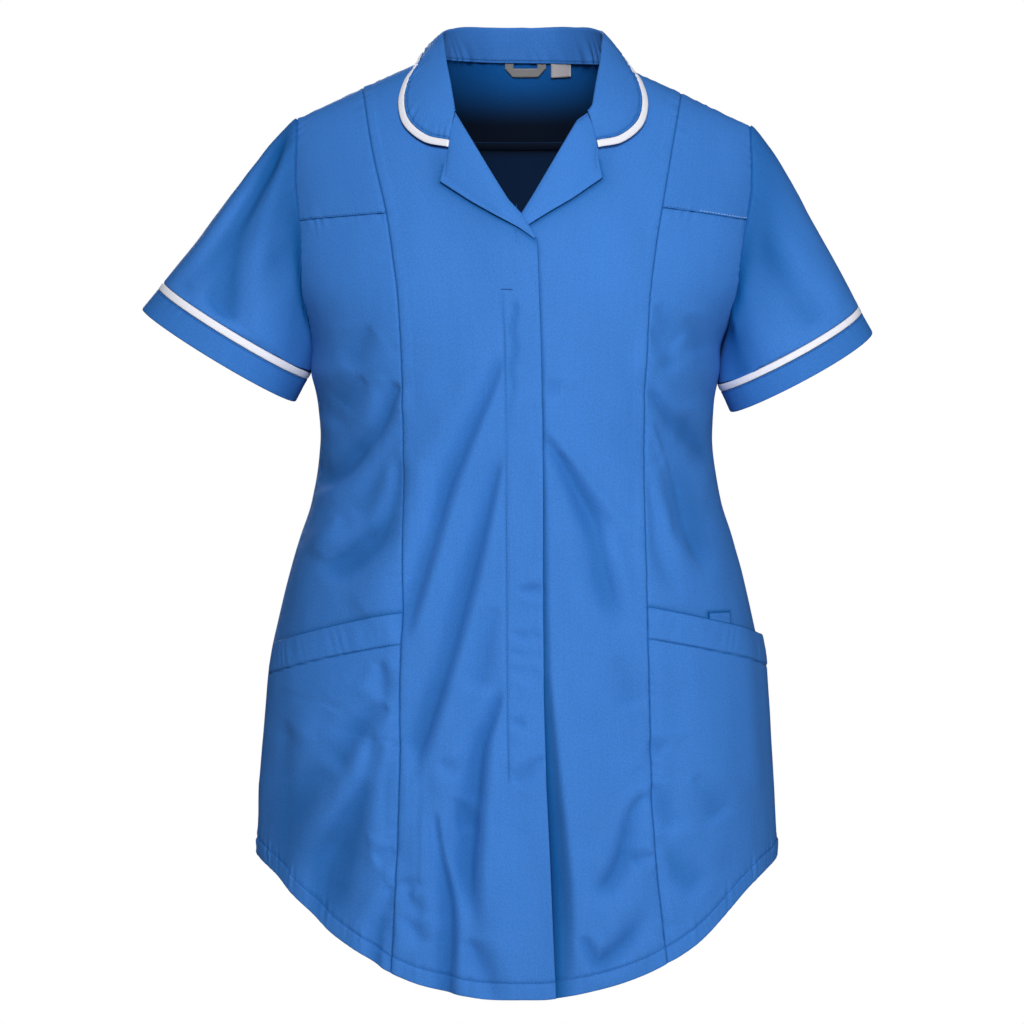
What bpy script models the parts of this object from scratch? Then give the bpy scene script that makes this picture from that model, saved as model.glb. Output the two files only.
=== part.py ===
import math

import bmesh
import bpy
import numpy as np

# Women's maternity tunic, size M, in the form it has when worn. Metres.
# +X is the wearer's left, -Y the front, +Z up; Z is 0 at the side neck points.

CLOTH = 0.0012
SEAM_GAP = 0.0003
PLY = 0.0016
HEM_PLY = 0.0004
HEM_DEPTH = 0.014
TRIM_PLY = 0.0003
COLLAR_TRIM = 0.0063
SHOULDER_LEVEL = -0.055
UNDERARM_LEVEL = -0.245
CORNER = 2.3
NECK_CENTRE = 0.006
NECK_HALF = 0.0735
NECK_LEVEL = 0.0036
BACK_YOKE_LEVEL = -0.0696
POCKET_BAND = 0.0265

# level, half width, front depth, back depth, sideways shift
RINGS = (
    (-0.055, 0.2045, 0.112, 0.112, 0.0065),
    (-0.100, 0.2062, 0.118, 0.116, 0.0065),
    (-0.150, 0.2065, 0.130, 0.119, 0.0060),
    (-0.200, 0.1985, 0.140, 0.116, 0.0030),
    (-0.245, 0.1765, 0.146, 0.111, 0.0000),
    (-0.270, 0.1702, 0.147, 0.107, 0.0000),
    (-0.298, 0.1688, 0.147, 0.104, 0.0000),
    (-0.330, 0.1672, 0.146, 0.102, 0.0000),
    (-0.379, 0.1744, 0.146, 0.104, 0.0000),
    (-0.413, 0.1851, 0.148, 0.108, 0.0000),
    (-0.447, 0.1943, 0.150, 0.112, 0.0000),
    (-0.481, 0.2020, 0.152, 0.116, 0.0000),
    (-0.516, 0.2094, 0.155, 0.120, 0.0000),
    (-0.550, 0.2131, 0.157, 0.123, 0.0000),
    (-0.618, 0.2182, 0.160, 0.127, 0.0000),
    (-0.680, 0.2206, 0.162, 0.129, 0.0000),
    (-0.800, 0.2236, 0.166, 0.131, 0.0000),
)

# share of the half width, hem level on the wearer's right, on the left, at the back
HEM = (
    (0.00, -0.7845, -0.7845, -0.7760),
    (0.13, -0.7837, -0.7842, -0.7752),
    (0.33, -0.7747, -0.7755, -0.7665),
    (0.47, -0.7630, -0.7660, -0.7550),
    (0.57, -0.7490, -0.7555, -0.7440),
    (0.69, -0.7316, -0.7380, -0.7280),
    (0.87, -0.6955, -0.6995, -0.6990),
    (1.00, -0.6725, -0.6800, -0.6765),
)

# height of a row on the form, angle of the armhole edge from the centre line
ARMHOLE = (
    (0.00, 71.5),
    (0.30, 70.3),
    (0.50, 69.3),
    (0.60, 66.7),
    (0.70, 64.9),
    (0.80, 65.9),
    (0.90, 71.0),
)
SIDE_SEAM = {-1: 80.0, 1: 92.0}

# level, princess seam on the wearer's right, on the left
PRINCESS = (
    (-0.020, -0.1320, 0.1440),
    (-0.035, -0.1295, 0.1405),
    (-0.087, -0.1204, 0.1305),
    (-0.1416, -0.1076, 0.1205),
    (-0.181, -0.1015, 0.1145),
    (-0.215, -0.0971, 0.1105),
    (-0.297, -0.0935, 0.1060),
    (-0.380, -0.0930, 0.1065),
    (-0.461, -0.0934, 0.1080),
    (-0.543, -0.0948, 0.1094),
    (-0.665, -0.0963, 0.1133),
    (-0.762, -0.1019, 0.1240),
    (-0.800, -0.1040, 0.1290),
)

# level, inner edge of the right front: neck seam, roll of the lapel, flap
RIGHT_EDGE = (
    (0.0027, -0.0675),
    (-0.010, -0.0665),
    (-0.025, -0.0630),
    (-0.040, -0.0580),
    (-0.050, -0.0535),
    (-0.057, -0.0504),
    (-0.1327, -0.0068),
    (-0.1445, 0.0040),
    (-0.1669, 0.0171),
    (-0.1843, 0.0179),
    (-0.2485, 0.0203),
    (-0.3384, 0.0219),
    (-0.4444, 0.0219),
    (-0.5419, 0.0226),
    (-0.6124, 0.0246),
    (-0.6716, 0.0275),
    (-0.7840, 0.0323),
    (-0.8000, 0.0330),
)

# level, inner edge of the left front, the last part under the flap
LEFT_EDGE = (
    (-0.0023, 0.0795),
    (-0.010, 0.0785),
    (-0.025, 0.0750),
    (-0.040, 0.0700),
    (-0.0531, 0.0641),
    (-0.0637, 0.0505),
    (-0.1302, 0.0130),
    (-0.1445, 0.0040),
    (-0.1628, -0.0067),
    (-0.1844, -0.0083),
    (-0.6229, -0.0083),
    (-0.7790, -0.0066),
    (-0.8000, -0.0060),
)

# share of the way down, roll x, roll z, outer edge x, outer edge z
RIGHT_LAPEL = (
    (0.00, -0.0500, -0.0590, -0.0550, -0.0900),
    (0.14, -0.0426, -0.0705, -0.0585, -0.1045),
    (0.28, -0.0333, -0.0867, -0.0621, -0.1171),
    (0.50, -0.0180, -0.1133, -0.0363, -0.1348),
    (0.70, -0.0057, -0.1340, -0.0150, -0.1482),
    (0.85, 0.0056, -0.1472, 0.0023, -0.1578),
    (1.00, 0.0158, -0.1647, 0.0145, -0.1664),
)
LEFT_LAPEL = (
    (0.00, 0.0590, -0.0592, 0.0666, -0.0900),
    (0.14, 0.0490, -0.0665, 0.0670, -0.1000),
    (0.28, 0.0400, -0.0823, 0.0702, -0.1141),
    (0.50, 0.0260, -0.1070, 0.0451, -0.1323),
    (0.70, 0.0135, -0.1290, 0.0255, -0.1443),
    (0.85, 0.0047, -0.1436, 0.0097, -0.1545),
    (1.00, -0.0052, -0.1603, -0.0028, -0.1618),
)

# place from the back centre, neck seam x and z, roll line x, y and z, outer edge x and z, side
COLLAR = (
    (0.0, 0.0000, 0.0036, 0.0000, 0.0690, 0.0334, 0.0000, -0.0170, "back"),
    (1.0, 0.0300, 0.0034, 0.0290, 0.0635, 0.0330, 0.0400, -0.0170, "back"),
    (2.0, 0.0550, 0.0024, 0.0520, 0.0440, 0.0305, 0.0700, -0.0165, "back"),
    (3.0, 0.0690, 0.0012, 0.0650, 0.0200, 0.0260, 0.0835, -0.0160, "back"),
    (4.0, 0.0735, 0.0000, 0.0680, -0.0010, 0.0205, 0.0885, -0.0140, "top"),
    (4.5, 0.0730, -0.0036, 0.0677, -0.0125, 0.0150, 0.0902, -0.0156, "front"),
    (5.0, 0.0725, -0.0100, 0.0668, -0.0235, 0.0085, 0.0925, -0.0185, "front"),
    (6.0, 0.0690, -0.0250, 0.0645, -0.0455, -0.0085, 0.0995, -0.0295, "front"),
    (7.0, 0.0640, -0.0400, 0.0612, -0.0640, -0.0260, 0.1035, -0.0480, "front"),
    (8.0, 0.0600, -0.0500, 0.0590, -0.0764, -0.0400, 0.0985, -0.0680, "front"),
    (9.0, 0.0580, -0.0545, 0.0578, -0.0840, -0.0490, 0.0820, -0.0830, "front"),
    (10.0, 0.0572, -0.0570, 0.0572, -0.0880, -0.0550, 0.0604, -0.0885, "front"),
)

# place from the back centre, how far the fall bulges
FALL = (
    (0.0, 0.0060),
    (3.0, 0.0042),
    (4.5, 0.0018),
    (6.0, 0.0026),
    (8.0, 0.0045),
    (10.0, 0.0014),
)

# share of the way from the princess seam to the side, top edge of the right pocket, of the left
POCKET_TOP = (
    (0.00, -0.4696, -0.4658),
    (0.35, -0.4790, -0.4747),
    (0.72, -0.4890, -0.4835),
    (1.00, -0.4983, -0.4950),
)
PEN_POCKET = (0.1575, 0.1795, -0.4716, -0.5780)
# middle and top of the loop of tape, then distance from the middle and depth along its two edges
HANGER_LOOP = (0.0085, 0.0027)
LOOP_OUTER = ((0.0186, 0.0000), (0.0186, 0.0052), (0.0115, 0.0122), (0.0000, 0.0122))
LOOP_INNER = ((0.0109, 0.0000), (0.0109, 0.0030), (0.0109, 0.0049), (0.0000, 0.0049))
# left edge, width, top and height of the label
SIZE_LABEL = (0.0318, 0.0175, 0.0020, 0.0145)

# side, cuff edge centre, half length, trim centre, half length, inward direction, front sag, skew
SLEEVES = (
    (-1, (-0.2532, -0.010, -0.2553), 0.0758, (-0.2373, -0.008, -0.2310), 0.0728, (0.856, -0.517), 0.0068, 0.0),
    (1, (0.2433, -0.010, -0.2697), 0.0689, (0.2317, -0.008, -0.2464), 0.0678, (-0.880, -0.474), 0.0085, 0.5),
)
CUFF_DEPTH = 0.050
TRIM_SHARE = 0.24
SLEEVE_HEAD = {-1: (0.76, -0.65, 0.066), 1: (0.70, -0.71, 0.040)}

# face, x and z of the start, the middle and the end, height (a trough is below 0), half width
FOLDS = (
    ("front", -0.0160, -0.2750, -0.0620, -0.3800, -0.0890, -0.4620, -0.0050, 0.016),
    ("front", -0.0180, -0.3600, -0.0400, -0.4600, -0.0840, -0.6000, -0.0035, 0.014),
    ("front", -0.0400, -0.3000, -0.0760, -0.3400, -0.0930, -0.4300, 0.0040, 0.018),
    ("front", -0.0140, -0.5400, -0.0360, -0.6100, -0.0390, -0.7100, -0.0045, 0.015),
    ("front", -0.0650, -0.6200, -0.0560, -0.7000, -0.0500, -0.7800, -0.0050, 0.016),
    ("front", -0.0160, -0.6400, -0.0140, -0.7100, -0.0120, -0.7900, 0.0040, 0.014),
    ("front", 0.0300, -0.3300, 0.0620, -0.3900, 0.0840, -0.4700, -0.0050, 0.016),
    ("front", 0.0700, -0.3300, 0.0900, -0.3800, 0.1000, -0.4600, 0.0040, 0.018),
    ("front", 0.1100, -0.6300, 0.0850, -0.6800, 0.0600, -0.7150, -0.0045, 0.015),
    ("front", 0.0880, -0.7050, 0.0900, -0.7500, 0.0920, -0.7900, 0.0050, 0.018),
    ("front", -0.1150, -0.2750, -0.1300, -0.3100, -0.1550, -0.3400, -0.0045, 0.017),
    ("front", -0.1050, -0.3600, -0.1200, -0.4000, -0.1450, -0.4300, -0.0040, 0.016),
    ("front", 0.1150, -0.2900, 0.1400, -0.3300, 0.1600, -0.3500, -0.0045, 0.017),
    ("front", 0.1200, -0.3200, 0.1450, -0.3900, 0.1600, -0.4600, -0.0045, 0.016),
    ("front", -0.1050, -0.5300, -0.1350, -0.5900, -0.1650, -0.6500, -0.0045, 0.018),
    ("front", -0.1550, -0.6100, -0.1500, -0.6600, -0.1400, -0.7200, -0.0040, 0.018),
    ("front", 0.1200, -0.6200, 0.1450, -0.6700, 0.1600, -0.7200, -0.0050, 0.018),
    ("front", -0.0700, -0.1650, -0.0400, -0.2000, -0.0100, -0.2300, 0.0025, 0.022),
    ("front", 0.0800, -0.1650, 0.0500, -0.2000, 0.0300, -0.2300, 0.0025, 0.022),
    ("back", -0.0600, -0.2600, -0.0850, -0.3600, -0.1000, -0.4700, -0.0050, 0.018),
    ("back", 0.0550, -0.2500, 0.0800, -0.3500, 0.0950, -0.4600, -0.0050, 0.018),
    ("back", 0.0050, -0.3000, -0.0100, -0.4400, 0.0050, -0.6000, -0.0035, 0.020),
    ("back", -0.0500, -0.5200, -0.0550, -0.6500, -0.0450, -0.7800, -0.0065, 0.020),
    ("back", 0.0600, -0.5400, 0.0550, -0.6600, 0.0600, -0.7800, -0.0065, 0.020),
    ("back", 0.0050, -0.6000, 0.0050, -0.7000, 0.0050, -0.7800, 0.0050, 0.020),
    ("back", -0.1250, -0.5600, -0.1350, -0.6400, -0.1300, -0.7300, -0.0050, 0.018),
    ("back", 0.1350, -0.5600, 0.1400, -0.6400, 0.1350, -0.7300, -0.0050, 0.018),
    ("back", -0.0900, -0.1400, -0.0950, -0.1900, -0.0800, -0.2400, -0.0030, 0.018),
    ("back", 0.0950, -0.1400, 0.0950, -0.1900, 0.0800, -0.2400, -0.0030, 0.018),
)

# piece, colour, roughness
CLOTHS = {
    "blue_cloth": ((0.045, 0.196, 0.580, 1.0), 0.78),
    "white_trim": ((0.860, 0.850, 0.880, 1.0), 0.70),
    "grey_tape": ((0.270, 0.262, 0.268, 1.0), 0.80),
    "label_cloth": ((0.520, 0.505, 0.530, 1.0), 0.75),
}


def smooth_step(value):
    value = min(max(value, 0.0), 1.0)
    return value * value * (3.0 - 2.0 * value)


# Values between the rows of a table, on a curve through all of them.
def between(table, key):
    turned = -1.0 if table[0][0] > table[-1][0] else 1.0
    keys = [row[0] * turned for row in table]
    key = min(max(key * turned, keys[0]), keys[-1])
    count = len(keys)
    i = 0
    while i < count - 2 and key > keys[i + 1]:
        i += 1
    step = keys[i + 1] - keys[i]
    spot = (key - keys[i]) / step
    first = max(i - 1, 0)
    last = min(i + 2, count - 1)
    a = 2 * spot**3 - 3 * spot**2 + 1
    b = (spot**3 - 2 * spot**2 + spot) * step / (keys[i + 1] - keys[first])
    c = 3 * spot**2 - 2 * spot**3
    d = (spot**3 - spot**2) * step / (keys[last] - keys[i])
    rows = zip(table[first][1:], table[i][1:], table[i + 1][1:], table[last][1:])
    return [a * q + b * (r - p) + c * r + d * (s - q) for p, q, r, s in rows]


def ridge(x):
    slope = -0.485 * (math.hypot(x, 0.045) - math.hypot(0.07, 0.045))
    share = abs(x - NECK_CENTRE) / 0.08
    if share < 1.0:
        slope += 0.07 * (1.0 - share * share) ** 2
    return slope


def neck_level(x):
    rel = min(abs(x - NECK_CENTRE) / NECK_HALF, 1.0)
    side_point = ridge(NECK_CENTRE + math.copysign(NECK_HALF, x - NECK_CENTRE))
    return side_point + (NECK_LEVEL - side_point) * (1.0 - rel * rel)


def hem_level(phi):
    levels = between(HEM, abs(math.sin(phi)))
    turn = smooth_step((abs(phi) - math.radians(80.0)) / math.radians(20.0))
    front = levels[0] if phi < 0 else levels[1]
    return front * (1.0 - turn) + levels[2] * turn


# A point of the form: phi is the angle from the front centre, height runs from
# 0 on the shoulder line through 1 at the underarm to 2 at the hem.
def form(phi, height):
    share = math.sin(phi)
    if height < 1.0:
        drop = 1.0 - math.cos(height * math.pi / 2.0)
        level = SHOULDER_LEVEL + (UNDERARM_LEVEL - SHOULDER_LEVEL) * drop
        fill = math.sin(height * math.pi / 2.0)
        half, front, back, shift = between(RINGS, level)
        x = shift + half * share
        z = ridge(x) * (1.0 - drop) + UNDERARM_LEVEL * drop
    else:
        z = UNDERARM_LEVEL + (height - 1.0) * (hem_level(phi) - UNDERARM_LEVEL)
        fill = 1.0
        half, front, back, shift = between(RINGS, z)
        x = shift + half * share
    depth = -front if abs(phi) < math.pi / 2.0 else back
    y = depth * fill * max(1.0 - abs(share) ** CORNER, 0.0) ** (1.0 / CORNER)
    return np.array((x, y, z))


def form_normal(phi, height):
    low = max(height - 0.01, 0.0)
    along = form(phi, low + 0.02) - form(phi, low)
    if low == 0.0 and height < 0.01:
        along = form(phi, 0.01) - form(phi, 0.0)
    around = form(phi + 0.01, max(height, 0.004)) - form(phi - 0.01, max(height, 0.004))
    out = np.cross(around, -along)
    out /= np.linalg.norm(out)
    return out


# The angle and height at which the form has a given x and z.
def locate(x, z, back=False):
    height = 1.0
    top = ridge(x)
    if z > UNDERARM_LEVEL:
        drop = min(max((top - z) / (top - UNDERARM_LEVEL), 0.0), 1.0)
        level = SHOULDER_LEVEL + (UNDERARM_LEVEL - SHOULDER_LEVEL) * drop
        half, _, _, shift = between(RINGS, level)
        height = math.acos(1.0 - drop) * 2.0 / math.pi
    else:
        half, _, _, shift = between(RINGS, z)
    phi = math.asin(min(max((x - shift) / half, -1.0), 1.0))
    if back:
        phi = math.copysign(math.pi, phi) - phi
    if z <= UNDERARM_LEVEL:
        height = 1.0 + (z - UNDERARM_LEVEL) / (hem_level(phi) - UNDERARM_LEVEL)
    return phi, height


def front_yoke_level(x):
    share = min(max((abs(x) - 0.107) / 0.08, 0.0), 1.0)
    if x < 0:
        return -0.1416 - 0.0032 * share
    return -0.1355 - 0.0074 * share


def back_yoke_level(x):
    return BACK_YOKE_LEVEL - 0.005 * (x / 0.19) ** 2


# Rows of the panels: 0 to 1 above the yoke seam, 1 to 2 down to the underarm, 2 to 3 to the hem.
def row_height(row, x, back):
    if row >= 2.0:
        return row - 1.0
    level = back_yoke_level(x) if back else front_yoke_level(x)
    top = ridge(x)
    drop = min(max((top - level) / (top - UNDERARM_LEVEL), 0.001), 0.999)
    seam = math.acos(1.0 - drop) * 2.0 / math.pi
    if row <= 1.0:
        return row * seam
    return seam + (row - 1.0) * (1.0 - seam)


def row_point(phi, row, back):
    height = row_height(row, form(phi, 0.5)[0], back)
    for _ in range(6):
        height = row_height(row, form(phi, height)[0], back)
    return height


# The angle at which a row crosses an edge that a table gives as x for each level.
def crossing(edge, row, low, high):
    levels = [-line[0] for line in edge]
    places = [line[1] for line in edge]

    def miss(phi):
        point = form(phi, row_point(phi, row, False))
        return point[0] - float(np.interp(-point[2], levels, places))

    start = miss(low)
    for _ in range(22):
        middle = (low + high) / 2.0
        if miss(middle) * start > 0:
            low = middle
        else:
            high = middle
    return (low + high) / 2.0


def princess_edge(side):
    column = 0 if side < 0 else 1
    levels = np.linspace(-0.0201, -0.7999, 60)
    return [(float(z), float(between(PRINCESS, float(z))[column])) for z in levels]


def armhole_angle(height, side, back):
    close = SIDE_SEAM[side]
    if back:
        close = 180.0 - close
    if height >= 1.0:
        angle = close
    else:
        angle = float(between(ARMHOLE, min(height, 0.9))[0])
        if height > 0.9:
            share = (height - 0.9) / 0.1
            angle += (close - angle) * share**1.6
    angle = 180.0 - angle if back else angle
    return side * math.radians(angle)


def armhole_row(row, side, back):
    height = 0.5
    for _ in range(12):
        phi = armhole_angle(height, side, back)
        height = row_height(row, form(phi, height)[0], back)
    return phi, height


def fold_lines():
    lines = {}
    for face in ("front", "back"):
        kept = [fold for fold in FOLDS if fold[0] == face]
        share = np.linspace(0.0, 1.0, 13)[:, None]
        tracks = []
        fades = []
        for fold in kept:
            start, middle, end = (np.array(fold[k : k + 2]) for k in (1, 3, 5))
            track = start * (1 - share) ** 2 + middle * 2 * share * (1 - share) + end * share**2
            fade = [1.0 - smooth_step((abs(s - 0.5) - 0.15) / 0.35) for s in share[:, 0]]
            if end[1] < -0.77:
                fade = [smooth_step(s / 0.5) for s in share[:, 0]]
            tracks.append(track)
            fades.append(fade)
        heights = np.array([fold[7] for fold in kept])
        widths = np.array([fold[8] for fold in kept])
        lines[face] = (np.array(tracks), np.array(fades), heights, widths)
    return lines


def fold_height(point, face):
    tracks, fades, heights, widths = FOLD_LINES[face]
    reach = np.linalg.norm(tracks - point[[0, 2]], axis=2) / widths[:, None]
    waves = fades * np.exp(-reach * reach)
    return float((heights * waves.max(axis=1)).sum())


def quiet(point):
    return smooth_step((-0.10 - point[2]) / 0.05)


def face_of(phi):
    return "front" if abs(phi) < math.pi / 2.0 else "back"


def side_fade(phi):
    return smooth_step(abs(abs(phi) - math.pi / 2.0) / 0.35)


def cloth_point(phi, height, lift):
    point = form(phi, height)
    out = form_normal(phi, height)
    wave = fold_height(point, face_of(phi)) * quiet(point) * side_fade(phi)
    return point + out * (wave + lift), out


def unit(vector):
    return vector / max(np.linalg.norm(vector), 1e-12)


# Moves the edges of a grid of points inward, so neighbouring pieces keep their gap.
def pull_in(grid, gaps):
    moved = grid.copy()
    left, right, top, bottom = gaps
    for i in range(grid.shape[0]):
        moved[i, 0] += unit(grid[i, 1] - grid[i, 0]) * left
        moved[i, -1] += unit(grid[i, -2] - grid[i, -1]) * right
    for j in range(grid.shape[1]):
        moved[0, j] += unit(grid[1, j] - grid[0, j]) * top
        moved[-1, j] += unit(grid[-2, j] - grid[-1, j]) * bottom
    return moved


def material(slot):
    colour, roughness = CLOTHS[slot]
    made = bpy.data.materials.new(slot)
    made.use_nodes = True
    made.diffuse_color = colour
    shader = made.node_tree.nodes["Principled BSDF"]
    shader.inputs["Base Color"].default_value = colour
    shader.inputs["Roughness"].default_value = roughness
    shader.inputs["Metallic"].default_value = 0.0
    return made


# A wall of cloth from two grids of points, its edges closed by an extrusion.
def wall(name, slot, outer, inner, tube=False):
    rows, columns = outer.shape[:2]
    bm = bmesh.new()
    bmesh.ops.create_grid(bm, x_segments=columns - 1, y_segments=rows - 1, size=1.0)
    bm.verts.ensure_lookup_table()
    number = bm.verts.layers.int.new("number")
    for i, vert in enumerate(bm.verts):
        vert[number] = i
        vert.co = outer[i // columns, i % columns]
    if tube:
        bmesh.ops.remove_doubles(bm, verts=bm.verts[:], dist=0.00001)
    copied = bmesh.ops.extrude_face_region(bm, geom=bm.faces[:], use_keep_orig=True)
    for item in copied["geom"]:
        if isinstance(item, bmesh.types.BMVert):
            i = item[number]
            item.co = inner[i // columns, i % columns]
    bmesh.ops.recalc_face_normals(bm, faces=bm.faces[:])
    for face in bm.faces:
        face.smooth = True
    mesh = bpy.data.meshes.new(name)
    bm.to_mesh(mesh)
    bm.free()
    mesh.set_sharp_from_angle(angle=math.radians(50))
    mesh.materials.append(material(slot))
    made = bpy.data.objects.new(name, mesh)
    TUNIC.objects.link(made)
    return made


# A panel on the form from a grid of angles, heights and lifts. Its points are kept in GRIDS.
def panel(name, slot, places, gaps):
    middle = np.zeros((len(places), len(places[0]), 3))
    facing = middle.copy()
    extra = np.zeros(middle.shape[:2] + (1,))
    for i, line in enumerate(places):
        for j, (phi, height, lift, more) in enumerate(line):
            middle[i, j], facing[i, j] = cloth_point(phi, height, lift)
            extra[i, j] = more
    GRIDS[name] = (middle, facing)
    outer = middle + facing * extra
    inner = middle - facing * CLOTH
    return wall(name, slot, pull_in(outer, gaps), pull_in(inner, gaps))


# The place on a panel, seen from the front, that has a given x and z.
def on_panel(name, x, z):
    points, facing = GRIDS[name]
    flat = points[:, :, [0, 2]]
    a = flat[:-1, :-1]
    best = None
    for first, second in (((0, 1), (1, 1)), ((1, 0), (1, 1))):
        b = flat[first[0] : first[0] + a.shape[0], first[1] : first[1] + a.shape[1]]
        c = flat[second[0] : second[0] + a.shape[0], second[1] : second[1] + a.shape[1]]
        ab = b - a
        ac = c - a
        ap = np.array((x, z)) - a
        area = ab[..., 0] * ac[..., 1] - ab[..., 1] * ac[..., 0]
        area = np.where(np.abs(area) < 1e-12, 1e-12, area)
        u = (ap[..., 0] * ac[..., 1] - ap[..., 1] * ac[..., 0]) / area
        v = (ab[..., 0] * ap[..., 1] - ab[..., 1] * ap[..., 0]) / area
        outside = np.maximum(0, -u) + np.maximum(0, -v) + np.maximum(0, u + v - 1)
        i, j = np.unravel_index(int(outside.argmin()), outside.shape)
        if best is None or outside[i, j] < best[0]:
            shares_in = (1 - u[i, j] - v[i, j], u[i, j], v[i, j])
            spots = ((i, j), (i + first[0], j + first[1]), (i + second[0], j + second[1]))
            best = (outside[i, j], shares_in, spots)
    point = sum(share * points[spot] for share, spot in zip(best[1], best[2]))
    out = sum(share * facing[spot] for share, spot in zip(best[1], best[2]))
    return point, unit(out)


def shares(count):
    return [i / count for i in range(count + 1)]


UPPER_ROWS = shares(5)
MIDDLE_ROWS = [1.0 + s for s in shares(6)]
HEM_ROW = 1.0 - HEM_DEPTH / 0.52
LOWER_ROWS = [2.0 + s * HEM_ROW for s in shares(15)] + [3.0]
HALF_GAP = SEAM_GAP * 0.6
ALL_ROWS = UPPER_ROWS + MIDDLE_ROWS[1:] + LOWER_ROWS[1:]
SIDE_ROWS = MIDDLE_ROWS + LOWER_ROWS[1:]
ROUND = (HALF_GAP, HALF_GAP, HALF_GAP, 0.0)


def hem_extra(row):
    return HEM_PLY if row > 2.0 + HEM_ROW * 0.999 else 0.0


def flap_lift(x, z):
    lift = PLY * smooth_step((x + 0.030) / 0.014)
    bump = smooth_step((x + 0.026) / 0.012)
    bump *= smooth_step((-0.126 - z) / 0.012) * smooth_step((z + 0.200) / 0.020)
    return lift + 0.0024 * bump


# The left front falls back beside the flap, most of all at the hem.
def under_lift(x, z):
    reach = (x - 0.045) / 0.018
    return -0.0105 * smooth_step((-0.60 - z) / 0.17) * math.exp(-reach * reach)


def span(phi_a, phi_b, shares_across):
    return [phi_a + (phi_b - phi_a) * share for share in shares_across]


SIDE_COLUMNS = {
    -1: (0.0, 0.14, 0.29, 0.43, 0.57, 0.71, 0.86, 1.0),
    1: (0.0, 0.13, 0.25, 0.38, 0.52, 0.67, 0.84, 1.0),
}
PRESS = 0.030


def centre_panel(name, side, edge, other, lift, gaps):
    places = []
    princess = princess_edge(side)
    for row in ALL_ROWS:
        seam = crossing(princess, row, 0.02 * side, side * 1.5)
        start = crossing(edge, row, -side * 0.35, side * 1.45)
        meet = crossing(other, row, -side * 0.35, side * 1.45) * side
        meet = side * max(meet, start * side + PRESS)
        if row < 0.99:
            meet = start + (seam - start) * 0.25
        angles = span(start, meet, shares(3)) + span(meet, seam, shares(5))[1:]
        line = []
        for phi in angles:
            height = row_point(phi, row, False)
            point = form(phi, height)
            line.append((phi, height, lift(point[0], point[2]), hem_extra(row)))
        places.append(line)
    return panel(name, "blue_cloth", places, gaps)


def side_panel(name, side, rows, columns, gaps):
    places = []
    princess = princess_edge(side)
    for row in rows:
        seam = crossing(princess, row, 0.02 * side, side * 1.5)
        end, _ = armhole_row(row, side, False)
        if row >= 2.0:
            end = side * math.radians(SIDE_SEAM[side])
        line = []
        for phi in span(seam, end, columns):
            line.append((phi, row_point(phi, row, False), 0.0, hem_extra(row)))
        places.append(line)
    return panel(name, "blue_cloth", places, gaps)


def back_columns():
    found = []
    for side in (-1, 1):
        start = crossing(RIGHT_EDGE if side < 0 else LEFT_EDGE, 0.0, -side * 0.35, side * 1.45)
        seam = crossing(princess_edge(side), 0.0, 0.02 * side, side * 1.5)
        arm = armhole_angle(0.0, side, False)
        angles = span(start, seam, shares(4)) + span(seam, arm, shares(3))[1:]
        places = [form(phi, 0.0)[0] for phi in angles]
        inner = [form(0.0, 0.0)[0] + (places[0] - form(0.0, 0.0)[0]) * s for s in (0.18, 0.36, 0.52, 0.66, 0.79, 0.90)]
        found.append(inner + places)
    right = list(reversed(found[0]))
    return right + [form(0.0, 0.0)[0]] + found[1]


def back_yoke():
    places = []
    columns = back_columns()
    for row in UPPER_ROWS:
        line = []
        for x in columns:
            side = -1 if x < form(0.0, 0.0)[0] else 1
            arm, _ = armhole_row(row, side, True)
            flat, _ = armhole_row(0.0, side, True)
            centre = RINGS[0][4]
            reach = (x - centre) / (form(flat, 0.0)[0] - centre)
            share = math.sin(arm) * reach
            phi = math.copysign(math.pi, side) - math.asin(share)
            height = row_point(phi, row, True)
            if abs(x - NECK_CENTRE) < NECK_HALF * 0.999:
                seam = row_point(phi, 1.0, True)
                level = neck_level(x)
                top = ridge(x)
                drop = max((top - level) / (top - UNDERARM_LEVEL), 0.0)
                start = math.acos(1.0 - drop) * 2.0 / math.pi
                height = start + (seam - start) * row
            line.append((phi, height, 0.0, 0.0))
        places.append(line)
    return panel("back_yoke", "blue_cloth", places, (0.0002, 0.0002, HALF_GAP, HALF_GAP))


def back_panel():
    places = []
    columns = back_columns()
    centre = RINGS[0][4]
    for row in MIDDLE_ROWS + LOWER_ROWS[1:]:
        line = []
        for x in columns:
            side = -1 if x < form(0.0, 0.0)[0] else 1
            arm, _ = armhole_row(row, side, True)
            if row >= 2.0:
                arm = side * math.radians(SIDE_SEAM[side])
            flat, _ = armhole_row(0.0, side, True)
            reach = (x - centre) / (form(flat, 0.0)[0] - centre)
            first, _ = armhole_row(1.0, side, True)
            blend = smooth_step((row - 1.0) / 0.8)
            by_x = math.pi - math.asin(abs(math.sin(first) * reach))
            by_angle = math.pi - (math.pi - abs(arm)) * abs(reach)
            edge_share = abs(reach) ** 2
            near = math.pi - math.asin(min(abs(math.sin(arm) * reach), 1.0))
            if abs(arm) > math.pi / 2.0 and row < 2.0:
                by_x = near
            phi = side * (by_x * (1.0 - blend) + by_angle * blend)
            if edge_share > 0.999:
                phi = arm
            line.append((phi, row_point(phi, row, True), 0.0, hem_extra(row)))
        places.append(line)
    return panel("back_panel", "blue_cloth", places, (HALF_GAP, HALF_GAP, HALF_GAP, 0.0))


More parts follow.
